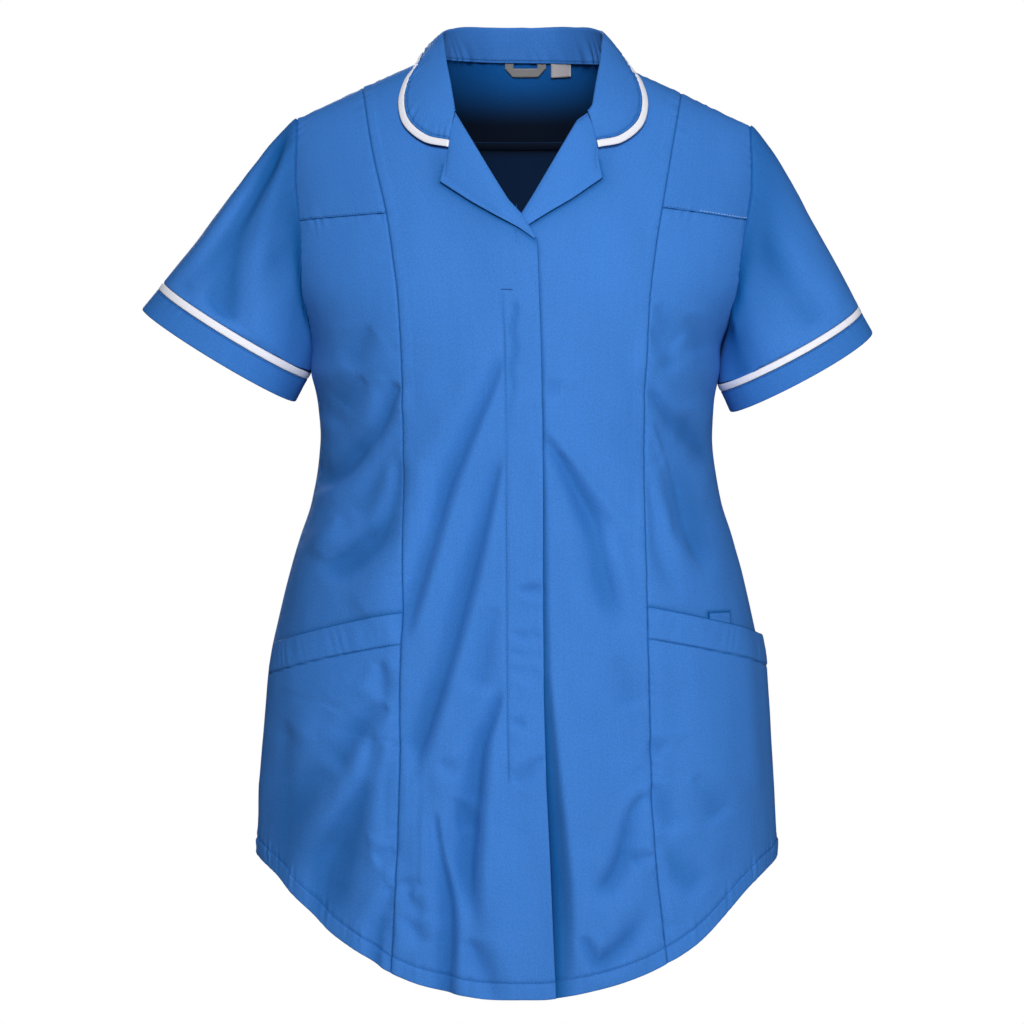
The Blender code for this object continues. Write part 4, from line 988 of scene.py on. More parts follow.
# the edges of one panel: sewn to a neighbour, tucked under it, hemmed or folded
def finishPanel(phi, height, lift, edges, seed, shares=1.0, paintedShade=None):
    rough = tunicPoint(phi, height)
    far = edgeDistances(rough)
    extra = lift(rough[..., 0], rough[..., 2])
    # painted shade along the edges, in the creases and where the panel's own function puts it
    depth = paintedShadeOfEdges(far, edges)
    if paintedShade:
        depth = np.maximum(depth, paintedShade(rough[..., 0], rough[..., 2]))
    depth = withCreaseShade(depth, rough, phi)
    for edge, kind in edges.items():
        along = far["top"] if edge in ("left", "right") else far["left"]
        if kind in ("seam", "tucked", "pressed"):
            allowance = seamPlan["allowance"] if kind == "pressed" else 0.0
            extra = extra + seamRelief(far[edge], along, seed + len(edge), allowance)
        if kind == "hem":
            extra = extra + hemRelief(far[edge], along)
        if kind in ("hem", "fold"):
            extra = extra + roundEdge(far[edge])
    margin = len(allowancePlan["steps"])
    core = [0, rough.shape[0], 0, rough.shape[1]]
    for edge, kind in edges.items():
        if kind == "tucked":
            phi, height, extra = tuckUnder(phi, height, extra, far, edge, shares)
            far = edgeDistances(tunicPoint(phi, height))
            pad = (margin, 0) if edgeEnds[edge] == 0 else (0, margin)
            sideways = edge in ("left", "right")
            depth = np.pad(depth, ((0, 0), pad) if sideways else (pad, (0, 0)), mode="edge")
            for k in {"top": (0, 1), "left": (2, 3)}.get(edge, ()):
                core[k] += margin
    grid, facing = tunicSurface(phi, height, extra)
    for edge, kind in edges.items():
        if kind in ("seam", "pressed"):
            lines = grid.transpose(1, 0, 2) if edge in ("left", "right") else grid
            at, beside = (0, 1) if edgeEnds[edge] == 0 else (-1, -2)
            lines[at] += unitOf(lines[beside] - lines[at]) * seamPlan["pull"]
    return grid, facing, core, depth


surfaces = {}


# keeps a piece's surface for the stitches on it
def keepSurface(name, grid, facing, core=None):
    if core:
        grid = grid[core[0] : core[1], core[2] : core[3]]
        facing = facing[core[0] : core[1], core[2] : core[3]]
    surfaces[name] = (grid, facing, edgeDistances(grid))


# distance between rows of points, and lengths of the parts of a panel
rowPlan = {
    "fine": 0.0021,
    "middle": 0.0025,
    "coarse": 0.0033,
    "yokeLength": 0.115,
    "chestLength": 0.105,
    "skirtLength": 0.530,
}


# rows of a panel that starts above (0) or below (1) the yoke seam, closer together at the hem
def panelRows(first, step):
    parts = []
    if first < 1:
        parts.append(spreadShares(rowPlan["yokeLength"], step)[:-1])
    if first < 2:
        shares = spreadShares(rowPlan["chestLength"], step)[:-1]
        if first < 1:
            shares = np.linspace(0.0, 1.0, len(shares) + 1)[:-1]
        parts.append(1.0 + shares)
    skirt = np.linspace(0.0, 1.0, int(rowPlan["skirtLength"] / step))
    hemEnd = 1.0 - np.sort(hemPlan["rows"] + hemPlan["stitchRows"]) / rowPlan["skirtLength"]
    skirt = np.concatenate((skirt[skirt < hemEnd.min() - 0.003], hemEnd[::-1]))
    parts.append(2.0 + skirt)
    return np.concatenate(parts)


def between(start, end, shares):
    return start[:, None] + (end - start)[:, None] * shares[None, :]


# share of the way down, roll x and z, outer edge x and z
lapelPlan = {
    "right": {
        "edges": (
            (0.00, -0.0500, -0.0590, -0.0550, -0.0900),
            (0.14, -0.0426, -0.0705, -0.0585, -0.1045),
            (0.28, -0.0333, -0.0867, -0.0621, -0.1171),
            (0.50, -0.0180, -0.1133, -0.0363, -0.1348),
            (0.70, -0.0057, -0.1340, -0.0150, -0.1482),
            (0.85, 0.0056, -0.1472, 0.0023, -0.1578),
            (1.00, 0.0158, -0.1647, 0.0145, -0.1664),
        ),
        "lift": flapLift,
    },
    "left": {
        "edges": (
            (0.00, 0.0590, -0.0592, 0.0666, -0.0900),
            (0.14, 0.0490, -0.0665, 0.0670, -0.1000),
            (0.28, 0.0400, -0.0823, 0.0702, -0.1141),
            (0.50, 0.0260, -0.1070, 0.0451, -0.1323),
            (0.70, 0.0135, -0.1290, 0.0255, -0.1443),
            (0.85, 0.0047, -0.1436, 0.0097, -0.1545),
            (1.00, -0.0052, -0.1603, -0.0028, -0.1618),
        ),
        "lift": underLift,
    },
    "length": 0.130,
    "width": 0.040,
    # how far it stands off the front: everywhere, in its middle, at its free edge
    "rise": 0.0020,
    "spring": 0.0024,
    "free": 0.0014,
    # painted shadow of the lapel: share of the colour lost in the front beside its free edge, and how far
    # that reaches
    "shade": ((0.34, 0.0026), (0.13, 0.010)),
    "sheet": {"flat": (0.045, 0.130), "area": 0.0033, "held": "folded"},
}


# distance in metres from points to a line through places given as x and z
def awayFrom(x, z, places):
    best = np.full(np.shape(x), 1.0)
    for (ax, az), (bx, bz) in zip(places[:-1], places[1:]):
        t = ((x - ax) * (bx - ax) + (z - az) * (bz - az)) / ((bx - ax) ** 2 + (bz - az) ** 2)
        t = np.clip(t, 0.0, 1.0)
        best = np.minimum(best, np.hypot(x - ax - t * (bx - ax), z - az - t * (bz - az)))
    return best


# painted shadow: the front is painted darker close to the free edge of the lapel on it
def paintedLapelShadow(x, z, sideName):
    places = [row[3:5] for row in lapelPlan[sideName]["edges"][1:]]
    away = awayFrom(x, z, places)
    return sum(share * bell(away, reach) for share, reach in lapelPlan["shade"])


sideNames = {-1: "right", 1: "left"}
centrePlan = {
    "width": 0.112,
    "sheet": {"flat": (0.143, 0.870), "area": 0.0940, "held": "hung", "restsOn": ("collar", "back_yoke")},
}


def frontCentre(side):
    rows = panelRows(0, rowPlan["fine"])
    shares = spreadShares(centrePlan["width"], rowPlan["fine"])
    phi = between(frontEdgeAngle(rows, side), princessAngle(rows, side), shares)
    height = settleRow(phi, rows[:, None] + 0.0 * phi, False)
    edges = {"left": "fold", "right": "pressed", "top": "seam", "bottom": "hem"}
    lift, paintedShade = (flapLift, paintedFlapShade) if side < 0 else (underLift, paintedUnderShade)
    grid, facing, core, depth = finishPanel(phi, height, lift, edges, 2.0 + side, paintedShade=paintedShade)
    node = sideNames[side] + "_front_centre"
    keepSurface(node, grid, facing, core)
    clothPiece(node + "_cloth", grid, facing, "blue", node, depth=depth)


for side in (-1, 1):
    frontCentre(side)
print("front centres made")

# share of the way from the princess seam to the side, top edge of the right pocket, of the left
pocketPlan = {
    "top": (
        (0.00, -0.4708, -0.4663),
        (0.35, -0.4816, -0.4788),
        (0.72, -0.4939, -0.4896),
        (1.00, -0.5005, -0.4955),
    ),
    "band": 0.0265,
    # rows of points close to the band's lower edge
    "bandRows": (0.0245, 0.0255, 0.0262, 0.0268, 0.0278, 0.029),
    "lift": 0.0025,
    # how deep the side lies behind it, and the painted shade of its mouth: share of the colour lost just
    # above it and how far that reaches
    "behind": 0.0014,
    "above": (0.30, 0.0024),
    "width": 0.190,
    "length": 0.270,
    "sheet": {"flat": (0.210, 0.295), "area": 0.0430, "held": "laid"},
}

penPocketPlan = {
    "left": 0.1592,
    "right": 0.1775,
    "top": -0.4722,
    "bottom": -0.5780,
    "rise": 0.0021,
    "hem": 0.012,
    # painted shade: share of the colour lost round it, and how far that reaches
    "beside": (0.50, 0.0016),
    "sheet": {"flat": (0.034, 0.108), "area": None, "held": "laid", "restsOn": ("left_front_side",)},
}

sidePlan = {
    "yoke": {"width": 0.068, "sheet": {"flat": (0.097, 0.160), "area": 0.0110, "held": "hung"}},
    "side": {"width": 0.185, "sheet": {"flat": (0.215, 0.640), "area": 0.0920, "held": "hung"}},
}


# level of a pocket's top edge, by the share of the way from the princess seam to the side
def pocketTops(side, shares):
    return throughTable(pocketPlan["top"], shares)[:, 0 if side < 0 else 1]


def frontSide(side, part):
    sideName = sideNames[side]
    plan = sidePlan[part]
    node = sideName + "_front_" + part
    if part == "yoke":
        rows = spreadShares(rowPlan["yokeLength"], rowPlan["fine"])
    else:
        rows = panelRows(1, rowPlan["middle"])
    shares = spreadShares(plan["width"], rowPlan["middle"])
    seam = princessAngle(rows, side)
    end, _ = armholeRow(rows, side, False)
    end = np.where(rows >= 2.0, side * math.radians(tunicForm["sideSeam"][side]), end)
    phi = between(seam, end, shares)
    height = settleRow(phi, rows[:, None] + 0.0 * phi, False)
    edges = {"left": "tucked", "right": "seam", "top": "seam", "bottom": "seam"}
    if part == "side":
        edges = {"left": "tucked", "right": "seam", "top": "tucked", "bottom": "hem"}
    tops = pocketTops(side, shares)[None, :]

    # the side lies lower behind its pocket
    def behindPocket(x, z):
        return -pocketPlan["behind"] * softStep((tops - 0.006 - z) / 0.012)

    # painted shade: it is painted darker just above the pocket, and round the pen pocket
    def paintedPocketShade(x, z):
        share, reach = pocketPlan["above"]
        paintedShade = share * bell(z - tops, reach)
        if side > 0:
            pen = penPocketPlan
            away = np.maximum(np.maximum(pen["left"] - x, x - pen["right"]), z - pen["top"])
            share, reach = pen["beside"]
            paintedShade = np.maximum(paintedShade, share * bell(away, reach))
        return paintedShade

    lift, paintedShade = (noLift, None) if part == "yoke" else (behindPocket, paintedPocketShade)
    grid, facing, core, depth = finishPanel(phi, height, lift, edges, 5.0 + side, paintedShade=paintedShade)
    keepSurface(node, grid, facing, core)
    clothPiece(node + "_cloth", grid, facing, "blue", node, depth=depth)


for side in (-1, 1):
    frontSide(side, "yoke")
    frontSide(side, "side")
print("front sides and yokes made")

backPlan = {
    "columns": 150,
    "yokeSheet": {"flat": (0.480, 0.115), "area": 0.0345, "held": "hung", "restsOn": ("collar",)},
    "panelSheet": {"flat": (0.665, 0.715), "area": 0.3500, "held": "hung", "restsOn": ("back_yoke",)},
}


# shares of the way from the centre of the back to its sides
def backShares(count):
    half = spreadShares(0.2, 0.2 / count * 2.0)
    half = half[half >= 0.5] * 2.0 - 1.0
    half[0] = 0.0
    return np.concatenate((-half[:0:-1], half))


def backYoke():
    reach = backShares(backPlan["columns"])
    rows = spreadShares(0.075, 0.0026)
    phi = np.zeros((len(rows), len(reach)))
    for side in (-1, 1):
        mask = reach < 0 if side < 0 else reach >= 0
        arm, _ = armholeRow(rows, side, True)
        share = np.sin(arm)[:, None] * np.abs(reach[mask])[None, :]
        phi[:, mask] = math.copysign(math.pi, side) - np.arcsin(share)
    row = rows[:, None] + 0.0 * phi
    height = settleRow(phi, row, True)
    ends = [armholeRow(np.zeros(1), side, True)[0] for side in (-1, 1)]
    flat = np.where(reach < 0, ends[0], ends[1])
    centre = tunicForm["rings"][0][4]
    x = centre + (tunicPoint(flat, 0.0)[:, 0] - centre) * np.abs(reach)
    atNeck = np.abs(x - tunicForm["neckCentre"]) < tunicForm["neckHalf"] * 0.999
    seam = settleRow(phi, 1.0 + 0.0 * phi, True)
    top = shoulderLine(x)
    drop = np.clip((top - neckLine(x)) / (top - tunicForm["underarm"]), 0.0, 1.0)
    start = np.arccos(1.0 - drop) * 2.0 / math.pi
    height = np.where(atNeck[None, :], start[None, :] + (seam - start[None, :]) * row, height)
    edges = {"left": "seam", "right": "seam", "top": "tucked", "bottom": "seam"}
    shares = np.where(atNeck, 0.05, 1.0)[None, :]
    grid, facing, core, depth = finishPanel(phi, height, noLift, edges, 9.0, shares)
    keepSurface("back_yoke", grid, facing, core)
    clothPiece("back_yoke_cloth", grid, facing, "blue", "back_yoke", depth=depth)


def backPanel():
    reach = backShares(backPlan["columns"] + 30)
    rows = panelRows(1, rowPlan["coarse"])
    phi = np.zeros((len(rows), len(reach)))
    for side in (-1, 1):
        mask = reach < 0 if side < 0 else reach >= 0
        a = np.abs(reach[mask])[None, :]
        arm, _ = armholeRow(rows, side, True)
        seamSide = side * math.radians(tunicForm["sideSeam"][side])
        arm = np.where(rows >= 2.0, seamSide, arm)[:, None]
        first, _ = armholeRow(np.ones(1), side, True)
        blend = softStep((rows - 1.0) / 0.8)[:, None]
        byFirst = math.pi - np.arcsin(np.abs(np.sin(first)) * a)
        near = math.pi - np.arcsin(np.minimum(np.abs(np.sin(arm)) * a, 1.0))
        byPlace = np.where((np.abs(arm) > math.pi / 2.0) & (rows[:, None] < 2.0), near, byFirst)
        byAngle = math.pi - (math.pi - np.abs(arm)) * a
        found = side * (byPlace * (1.0 - blend) + byAngle * blend)
        phi[:, mask] = np.where(a > 0.999, arm, found)
    height = settleRow(phi, rows[:, None] + 0.0 * phi, True)
    edges = {"left": "tucked", "right": "tucked", "top": "tucked", "bottom": "hem"}
    grid, facing, core, depth = finishPanel(phi, height, noLift, edges, 11.0)
    keepSurface("back_panel", grid, facing, core)
    clothPiece("back_panel_cloth", grid, facing, "blue", "back_panel", depth=depth)


backYoke()
backPanel()
print("back made")


# how far a hip pocket stands off the side: the left one gapes at the pen pocket and at its outer corner
def pocketRise(side, share, down):
    rise = pocketPlan["lift"]
    if side > 0:
        across = softStep((share - 0.10) / 0.12) * softStep((0.70 - share) / 0.16)
        rise = rise + 0.00184 * across * softStep((0.165 - down) / 0.040)
        rise = rise + 0.0032 * softStep((share - 0.80) / 0.2) * softStep((0.05 - down) / 0.05)
    rise = rise + 0.0010 * np.sin(math.pi * share) * softStep((0.06 - down) / 0.06)
    return rise + 0.0 * down


def hipPocket(side):
    sideName = sideNames[side]
    sideSeam = side * math.radians(tunicForm["sideSeam"][side])
    shares = spreadShares(pocketPlan["width"], rowPlan["fine"])
    rows = np.linspace(2.0, 3.0, 300)
    seam = princessAngle(rows, side)
    levels = tunicPoint(between(seam, sideSeam, shares), rows[:, None] - 1.0)[..., 2]
    tops = pocketTops(side, shares)
    downs = spreadShares(pocketPlan["length"], rowPlan["fine"])
    bandShares = np.array(pocketPlan["bandRows"]) / pocketPlan["length"]
    hemShares = 1.0 - np.array(hemPlan["stitchRows"]) / pocketPlan["length"]
    downs = np.unique(np.concatenate((downs, bandShares, hemShares)))
    row = np.zeros((len(downs), len(shares)))
    for j, top in enumerate(tops):
        wanted = top + (levels[-1, j] - top) * downs
        row[:, j] = np.interp(-wanted, -levels[:, j], rows)
    seamHere = np.interp(row, rows, seam)
    phi = seamHere + (sideSeam - seamHere) * shares[None, :]
    rough = tunicPoint(phi, row - 1.0)
    far = edgeDistances(rough)
    down = tops[None, :] - rough[..., 2]
    line = far["top"] - pocketPlan["band"]
    band = hemPlan["ply"] * softStep(-line / 0.0010) - seamPlan["groove"][0] * bell(line, 0.0011)
    wrinkle = puckers(line + 0.012, far["left"] + 0.35 * far["top"], 0.00030, 0.0105, 0.012, 2.0 + side)
    extra = pocketRise(side, shares[None, :], down) + band + wrinkle
    extra = extra + hemRelief(far["bottom"], far["left"]) + roundEdge(far["bottom"]) + roundEdge(far["top"])
    sewn = softStep(np.minimum(far["left"], far["right"]) / 0.010)
    extra = extra * (0.12 + 0.88 * sewn) + seamRelief(far["left"], far["top"], 6.0 + side)
    # painted shade along the seam, hem, band line, mouth and creases
    depth = paintedShadeOfEdges(far, {"left": "seam", "bottom": "hem"})
    depth = np.maximum(np.maximum(depth, paintedShadeAlong(line, "line")), paintedShadeAlong(far["top"], "mouth"))
    depth = withCreaseShade(depth, rough, phi)
    phi, height, extra = tuckUnder(phi, row - 1.0, extra, far, "left")
    margin = len(allowancePlan["steps"])
    depth = np.pad(depth, ((0, 0), (margin, 0)), mode="edge")
    grid, facing = tunicSurface(phi, height, extra)
    node = sideName + "_pocket"
    keepSurface(node, grid, facing, (0, grid.shape[0], margin, grid.shape[1]))
    clothPiece(node + "_cloth", grid, facing, "blue", node, depth=depth)


def penPocket():
    plan = penPocketPlan
    across = spreadShares(plan["right"] - plan["left"], 0.0020)
    down = spreadShares(plan["top"] - plan["bottom"], 0.0024)
    x = plan["left"] + (plan["right"] - plan["left"]) * across[None, :] + 0.0 * down[:, None]
    z = plan["top"] - (plan["top"] - plan["bottom"]) * down[:, None] + 0.0 * x
    phi, height = placeOn(x, z)
    far = edgeDistances(tunicPoint(phi, height))
    line = far["top"] - plan["hem"]
    rise = plan["rise"] + sum(roundEdge(far[edge], 0.0007) for edge in far) - 0.0003 * bell(line, 0.001)
    # painted shade along the seams, stitch line and mouth
    depth = paintedShadeOfEdges(far, {"left": "seam", "right": "seam", "bottom": "seam"})
    depth = np.maximum(depth, paintedShadeAlong(line, "line"))
    depth = np.maximum(depth, paintedShadeAlong(far["top"], "mouth"))
    grid, facing = tunicSurface(phi, height, rise)
    keepSurface("pen_pocket", grid, facing)
    clothPiece("pen_pocket_cloth", grid, facing, "blue", "pen_pocket", depth=depth)


for side in (-1, 1):
    hipPocket(side)
penPocket()
print("pockets made")


def lapel(sideName):
    plan = lapelPlan[sideName]
    table = np.array(plan["edges"])
    down = spreadShares(lapelPlan["length"], 0.0020)[:, None]
    across = spreadShares(lapelPlan["width"], 0.0014)[None, :]
    values = [np.interp(down, table[:, 0], table[:, k]) for k in (1, 2, 3, 4)]
    x = values[0] + (values[2] - values[0]) * across
    z = values[1] + (values[3] - values[1]) * across
    phi, height = placeOn(x, z)
    spring = lapelPlan["spring"] * np.sin(math.pi * np.minimum(across * 1.15, 1.0)) ** 0.7 * (1.0 - down**3)
    free = lapelPlan["free"] * across**2 * softStep((1.0 - down) / 0.3)
    rise = lapelPlan["rise"] + spring + free + plan["lift"](x, z)
    far = edgeDistances(tunicPoint(phi, height))
    rise = rise + roundEdge(far["right"], 0.0006) + roundEdge(far["top"], 0.0006)
    rise = rise + roundEdge(far["left"], 0.0012, 0.004)
    grid, facing = tunicSurface(phi, height, rise)
    node = sideName + "_lapel"
    keepSurface(node, grid, facing)
    clothPiece(node + "_cloth", grid, facing, "blue", node)


for sideName in ("right", "left"):
    lapel(sideName)
print("lapels made")

collarPlan = {
    # place from the back centre, neck seam x and z, roll line x, y and z, outer edge x and z, side
    "stations": (
        (0.0, 0.0000, 0.0036, 0.0000, 0.0690, 0.0348, 0.0000, -0.0170, "back"),
        (1.0, 0.0300, 0.0034, 0.0290, 0.0635, 0.0345, 0.0400, -0.0170, "back"),
        (2.0, 0.0550, 0.0024, 0.0520, 0.0440, 0.0318, 0.0700, -0.0165, "back"),
        (3.0, 0.0690, 0.0012, 0.0650, 0.0200, 0.0260, 0.0835, -0.0160, "back"),
        (4.0, 0.0735, 0.0000, 0.0680, -0.0010, 0.0205, 0.0885, -0.0140, "top"),
        (4.5, 0.0730, -0.0036, 0.0677, -0.0125, 0.0150, 0.0902, -0.0156, "front"),
        (5.0, 0.0725, -0.0100, 0.0668, -0.0235, 0.0085, 0.0925, -0.0185, "front"),
        (6.0, 0.0690, -0.0250, 0.0645, -0.0455, -0.0085, 0.0995, -0.0295, "front"),
        (7.0, 0.0640, -0.0400, 0.0612, -0.0640, -0.0260, 0.1035, -0.0480, "front"),
        (8.0, 0.0600, -0.0500, 0.0590, -0.0764, -0.0400, 0.0985, -0.0680, "front"),
        (9.0, 0.0580, -0.0545, 0.0578, -0.0840, -0.0490, 0.0820, -0.0830, "front"),
        (10.0, 0.0572, -0.0570, 0.0572, -0.0880, -0.0550, 0.0604, -0.0885, "front"),
    ),
    # place, how far the fall bulges
    "bulge": (
        (0.0, 0.0060),
        (3.0, 0.0042),
        (4.5, 0.0018),
        (6.0, 0.0026),
        (8.0, 0.0045),
        (10.0, 0.0014),
    ),
    "piping": 0.0063,
    "places": 240,
    # how far it stands off the body, and the distance of its stitches from its edge
    "rise": 0.0036,
    "stitches": 0.0022,
    # height, length and reach of the ripples at its edge and of the gathers at its roll
    "ripples": (0.00090, 0.0080, 0.010),
    "gathers": (0.0011, 0.012, 0.014),
    # shares of the way from the neck to the roll, and from the roll to the edge, where its line is set
    "standAt": (0.30, 0.60, 0.88),
    "fallAt": (0.0, 0.10, 0.25, 0.42, 0.60, 0.80, 1.0),
    "sheet": {"flat": (0.560, 0.085), "area": 0.0285, "held": "folded", "restsOn": ("back_yoke",)},
    "pipingSheet": {"flat": (0.0125, 0.590), "area": 0.0039, "held": "folded", "restsOn": ("collar",)},
}


# the stations of the collar on one side, each with neck, roll, outer edge and the way it faces
def collarRows(way):
    rows = []
    centre = tunicForm["neckCentre"]
    edge = np.array(tunicForm["rightEdge" if way < 0 else "leftEdge"])
    for key, nx, nz, rx, ry, rz, ex, ez, side in collarPlan["stations"]:
        x = centre + way * nx
        if side == "front":
            x = float(np.interp(-nz, -edge[:, 0], edge[:, 1]))
        if side == "back":
            nz = float(neckLine(x))
        neckPhi, neckHeight = placeOn(x, nz, side == "back")
        if side == "top":
            neck = np.array((x, 0.0, float(shoulderLine(x))))
            outX = centre + way * ex
            outer = np.array((outX, 0.0, float(shoulderLine(outX))))
            out = np.array((0.0, 0.0, 1.0))
        else:
            neck = tunicPoint(neckPhi, neckHeight)
            phi, height = placeOn(centre + way * ex, ez, side == "back")
            outer = tunicPoint(phi, height)
            out = tunicFacing(phi, height)
        roll = np.array((centre + way * rx, ry, rz))
        facing = tunicFacing(neckPhi, neckHeight)
        if key >= 9.5:
            roll = neck + facing * 0.0044 - np.array((way * 0.0020, 0.0, 0.0))
            neck = neck + facing * 0.0017
        else:
            neck = neck - facing * (0.0026 if side == "back" else 0.0006)
        rows.append((key, *neck, *roll, *(outer + out * collarPlan["rise"]), *out))
    return rows


# the collar's middle surface: each line runs from the neck seam over the roll line to the outer edge
def collarLines(places):
    sides = {way: np.array([throughTable(collarRows(way), abs(p)) for p in places]) for way in (-1, 1)}
    fine = np.linspace(0.0, 1.0, 60)
    lines = []
    for k, place in enumerate(places):
        value = sides[-1 if place < 0 else 1][k]
        neck, roll, edge, out = value[0:3], value[3:6], value[6:9], unitOf(value[9:12])
        away = unitOf(edge - roll)
        up = unitOf(out + np.array((0.0, 0.0, 0.6)) - away * np.dot(out, away))
        bulge = float(throughTable(collarPlan["bulge"], abs(place))[0])
        start = -0.0012 + 0.0029 * float(softStep(abs(place) - 3.0))
        spots = [neck + unitOf(roll - neck) * start]
        spots += [neck + (roll - neck) * share for share in collarPlan["standAt"]]
        for fall in collarPlan["fallAt"]:
            rise = bulge * math.sin(math.pi * fall) ** 0.8 * (1.0 - 0.3 * fall)
            spots.append(roll + (edge - roll) * fall + up * rise)
        spots = np.array(spots)
        far = lengthsAlong(spots)
        line = throughTable(np.column_stack((far, spots)), fine * far[-1])
        for _ in range(3):
            line[1:-1] = line[1:-1] * 0.5 + (line[:-2] + line[2:]) * 0.25
        lines.append(line)
    return np.array(lines)


# the way a grid faces, round a tube where it wraps
def gridFacing(grid, wrap=False):
    down = np.empty_like(grid)
    down[1:-1] = grid[2:] - grid[:-2]
    down[0] = grid[1] - grid[0]
    down[-1] = grid[-1] - grid[-2]
    across = np.empty_like(grid)
    across[:, 1:-1] = grid[:, 2:] - grid[:, :-2]
    across[:, 0] = grid[:, 1] - grid[:, -2] if wrap else grid[:, 1] - grid[:, 0]
    across[:, -1] = across[:, 0] if wrap else grid[:, -1] - grid[:, -2]
    return unitOf(np.cross(across, down))


def alongLine(line, wanted):
    return readAt(wanted, lengthsAlong(line), line)


# the piping is round across its width, on top of a base
def pipingCrown(across, base):
    return base + 0.0005 * np.sqrt(np.maximum(1.0 - (2.0 * across - 1.0) ** 2, 0.0))


def collar():
    places = np.linspace(-10.0, 10.0, collarPlan["places"] + 1)
    lines = collarLines(places)
    lengths = np.linalg.norm(np.diff(lines, axis=1), axis=-1).sum(axis=1)
    shares = spreadShares(0.085, 0.0019)
    piping = collarPlan["piping"]
    body = []
    edge = []
    for line, length in zip(lines, lengths):
        end = max(length - piping, length * 0.6)
        body.append(alongLine(line, shares * (end - 0.0002)))
        edge.append(alongLine(line, end + (length - end) * np.linspace(0.0, 1.0, 8)))
    body = np.array(body)
    edge = np.array(edge)
    facing = gridFacing(body)
    if facing[len(places) // 2, -1][1] < 0:
        facing = -facing
    far = edgeDistances(body)
    line = far["right"] - collarPlan["stitches"]
    relief = 0.0005 - 0.0006 * bell(line, 0.0010)
    relief = relief + puckers(far["right"], far["top"], *collarPlan["ripples"], 4.0)
    # it is gathered a little along its roll at the back
    away = np.abs(places)[:, None]
    gathers = softStep((4.5 - away) / 1.5) * (0.6 + softStep((away - 1.0) / 1.2))
    relief = relief + gathers * puckers(far["left"], far["top"], *collarPlan["gathers"], 6.0)
    relief = relief + roundEdge(far["top"], 0.0005) + roundEdge(far["bottom"], 0.0005)
    grid = body + facing * relief[..., None]
    keepSurface("collar", grid, facing)
    # painted shade along the stitch lines and the seam
    depth = np.maximum(paintedShadeAlong(line, "hem"), paintedShadeAlong(far["right"], "seam"))
    depth = np.maximum(depth, paintedShadeAlong(far["left"] - collarPlan["stitches"], "hem"))
    clothPiece("collar_cloth", grid, facing, "blue", "collar", thick=0.0011, depth=depth)
    edgeFacing = np.repeat(facing[:, -1:], edge.shape[1], axis=1)
    crown = pipingCrown(np.linspace(0.0, 1.0, edge.shape[1]), 0.0008)
    strip = edge + edgeFacing * crown[None, :, None]
    clothPiece("collar_piping", strip, edgeFacing, "piping", "collar_trim", thick=0.0016)


collar()
print("collar made")

sleevePlan = {
    "cuffDepth": 0.050,
    "pipingShare": 0.24,
    "length": 0.200,
    "rise": 0.0006,
    # the way a sleeve leaves the armhole: least pull, inwards and down under the arm, gap for the full pull
    "leave": (0.03, (0.052, 0.016), 0.10),
    # pull with which it comes to the cuff: under the arm, and what is added at the top
    "arrive": (0.55, 0.45),
    # how far and how deep the seam allowance goes under the body
    "tuck": ((0.007, 0.0026), (0.004, 0.0026), (0.0014, 0.0024), (0.0003, 0.0012)),
    # painted shade: share of the colour lost beside the armhole, under the arm, in the creases and on the
    # cuffs
    "shade": {"beside": 0.28, "under": 0.34, "creases": 0.26, "cuff": 0.12},
    "right": {
        "side": -1,
        "cuff": (-0.2532, -0.010, -0.2553),
        "cuffHalf": 0.0758,
        "trim": (-0.2373, -0.008, -0.2310),
        "trimHalf": 0.0728,
        "inward": (0.856, -0.517),
        "sag": 0.0068,
        "skew": 0.0,
        "head": (0.79, -0.61, 0.069),
        "creases": (
            (-4.6, 17, 0.12, 74, 0.92, 17.0),
            (2.2, 108, 0.30, 104, 0.98, 16.0),
            (-2.0, 36, 0.40, 40, 0.95, 10.0),
        ),
    },
    "left": {
        "side": 1,
        "cuff": (0.2433, -0.010, -0.2697),
        "cuffHalf": 0.0689,
        "trim": (0.2317, -0.008, -0.2464),
        "trimHalf": 0.0678,
        "inward": (-0.873, -0.488),
        "sag": 0.0085,
        "skew": 0.15,
        "head": (0.79, -0.61, 0.051),
        "creases": (
            (-2.0, 70, 0.30, 64, 0.90, 15.0),
            (1.6, 104, 0.30, 100, 0.98, 16.0),
            (-2.4, 140, 0.20, 132, 0.98, 13.0),
        ),
    },
    "sheet": {"flat": (0.490, 0.190), "area": 0.0400, "held": "hung"},
    "cuffSheet": {"flat": (0.392, 0.021), "area": None, "held": "hung"},
    "pipingSheet": {"flat": (0.392, 0.0140), "area": 0.0027, "held": "hung"},
    # height, turn of the start and end of a crease in degrees (0 outer, 90 front), level, half width
    "creases": (
        (-3.0, 240, 0.20, 248, 0.95, 10.0),
        (-3.0, 300, 0.20, 292, 0.95, 11.0),
        (2.4, 270, 0.30, 272, 0.95, 10.0),
    ),
}


# an oval ring of points, 0 at the outer side and a quarter turn to the front
def sleeveRing(plan, centre, half, turns, depth):
    along = -np.cos(turns)
    across = np.sin(turns)
    flat = np.array((plan["inward"][0], 0.0, plan["inward"][1]))
    points = np.array(centre) + flat * along[:, None] * half
    points[:, 1] -= depth * across
    drop = plan["sag"] * (np.maximum(across, 0.0) + 0.4 * np.maximum(-across, 0.0))
    points[:, 2] -= drop * (1.0 - plan["skew"] * along)
    return points


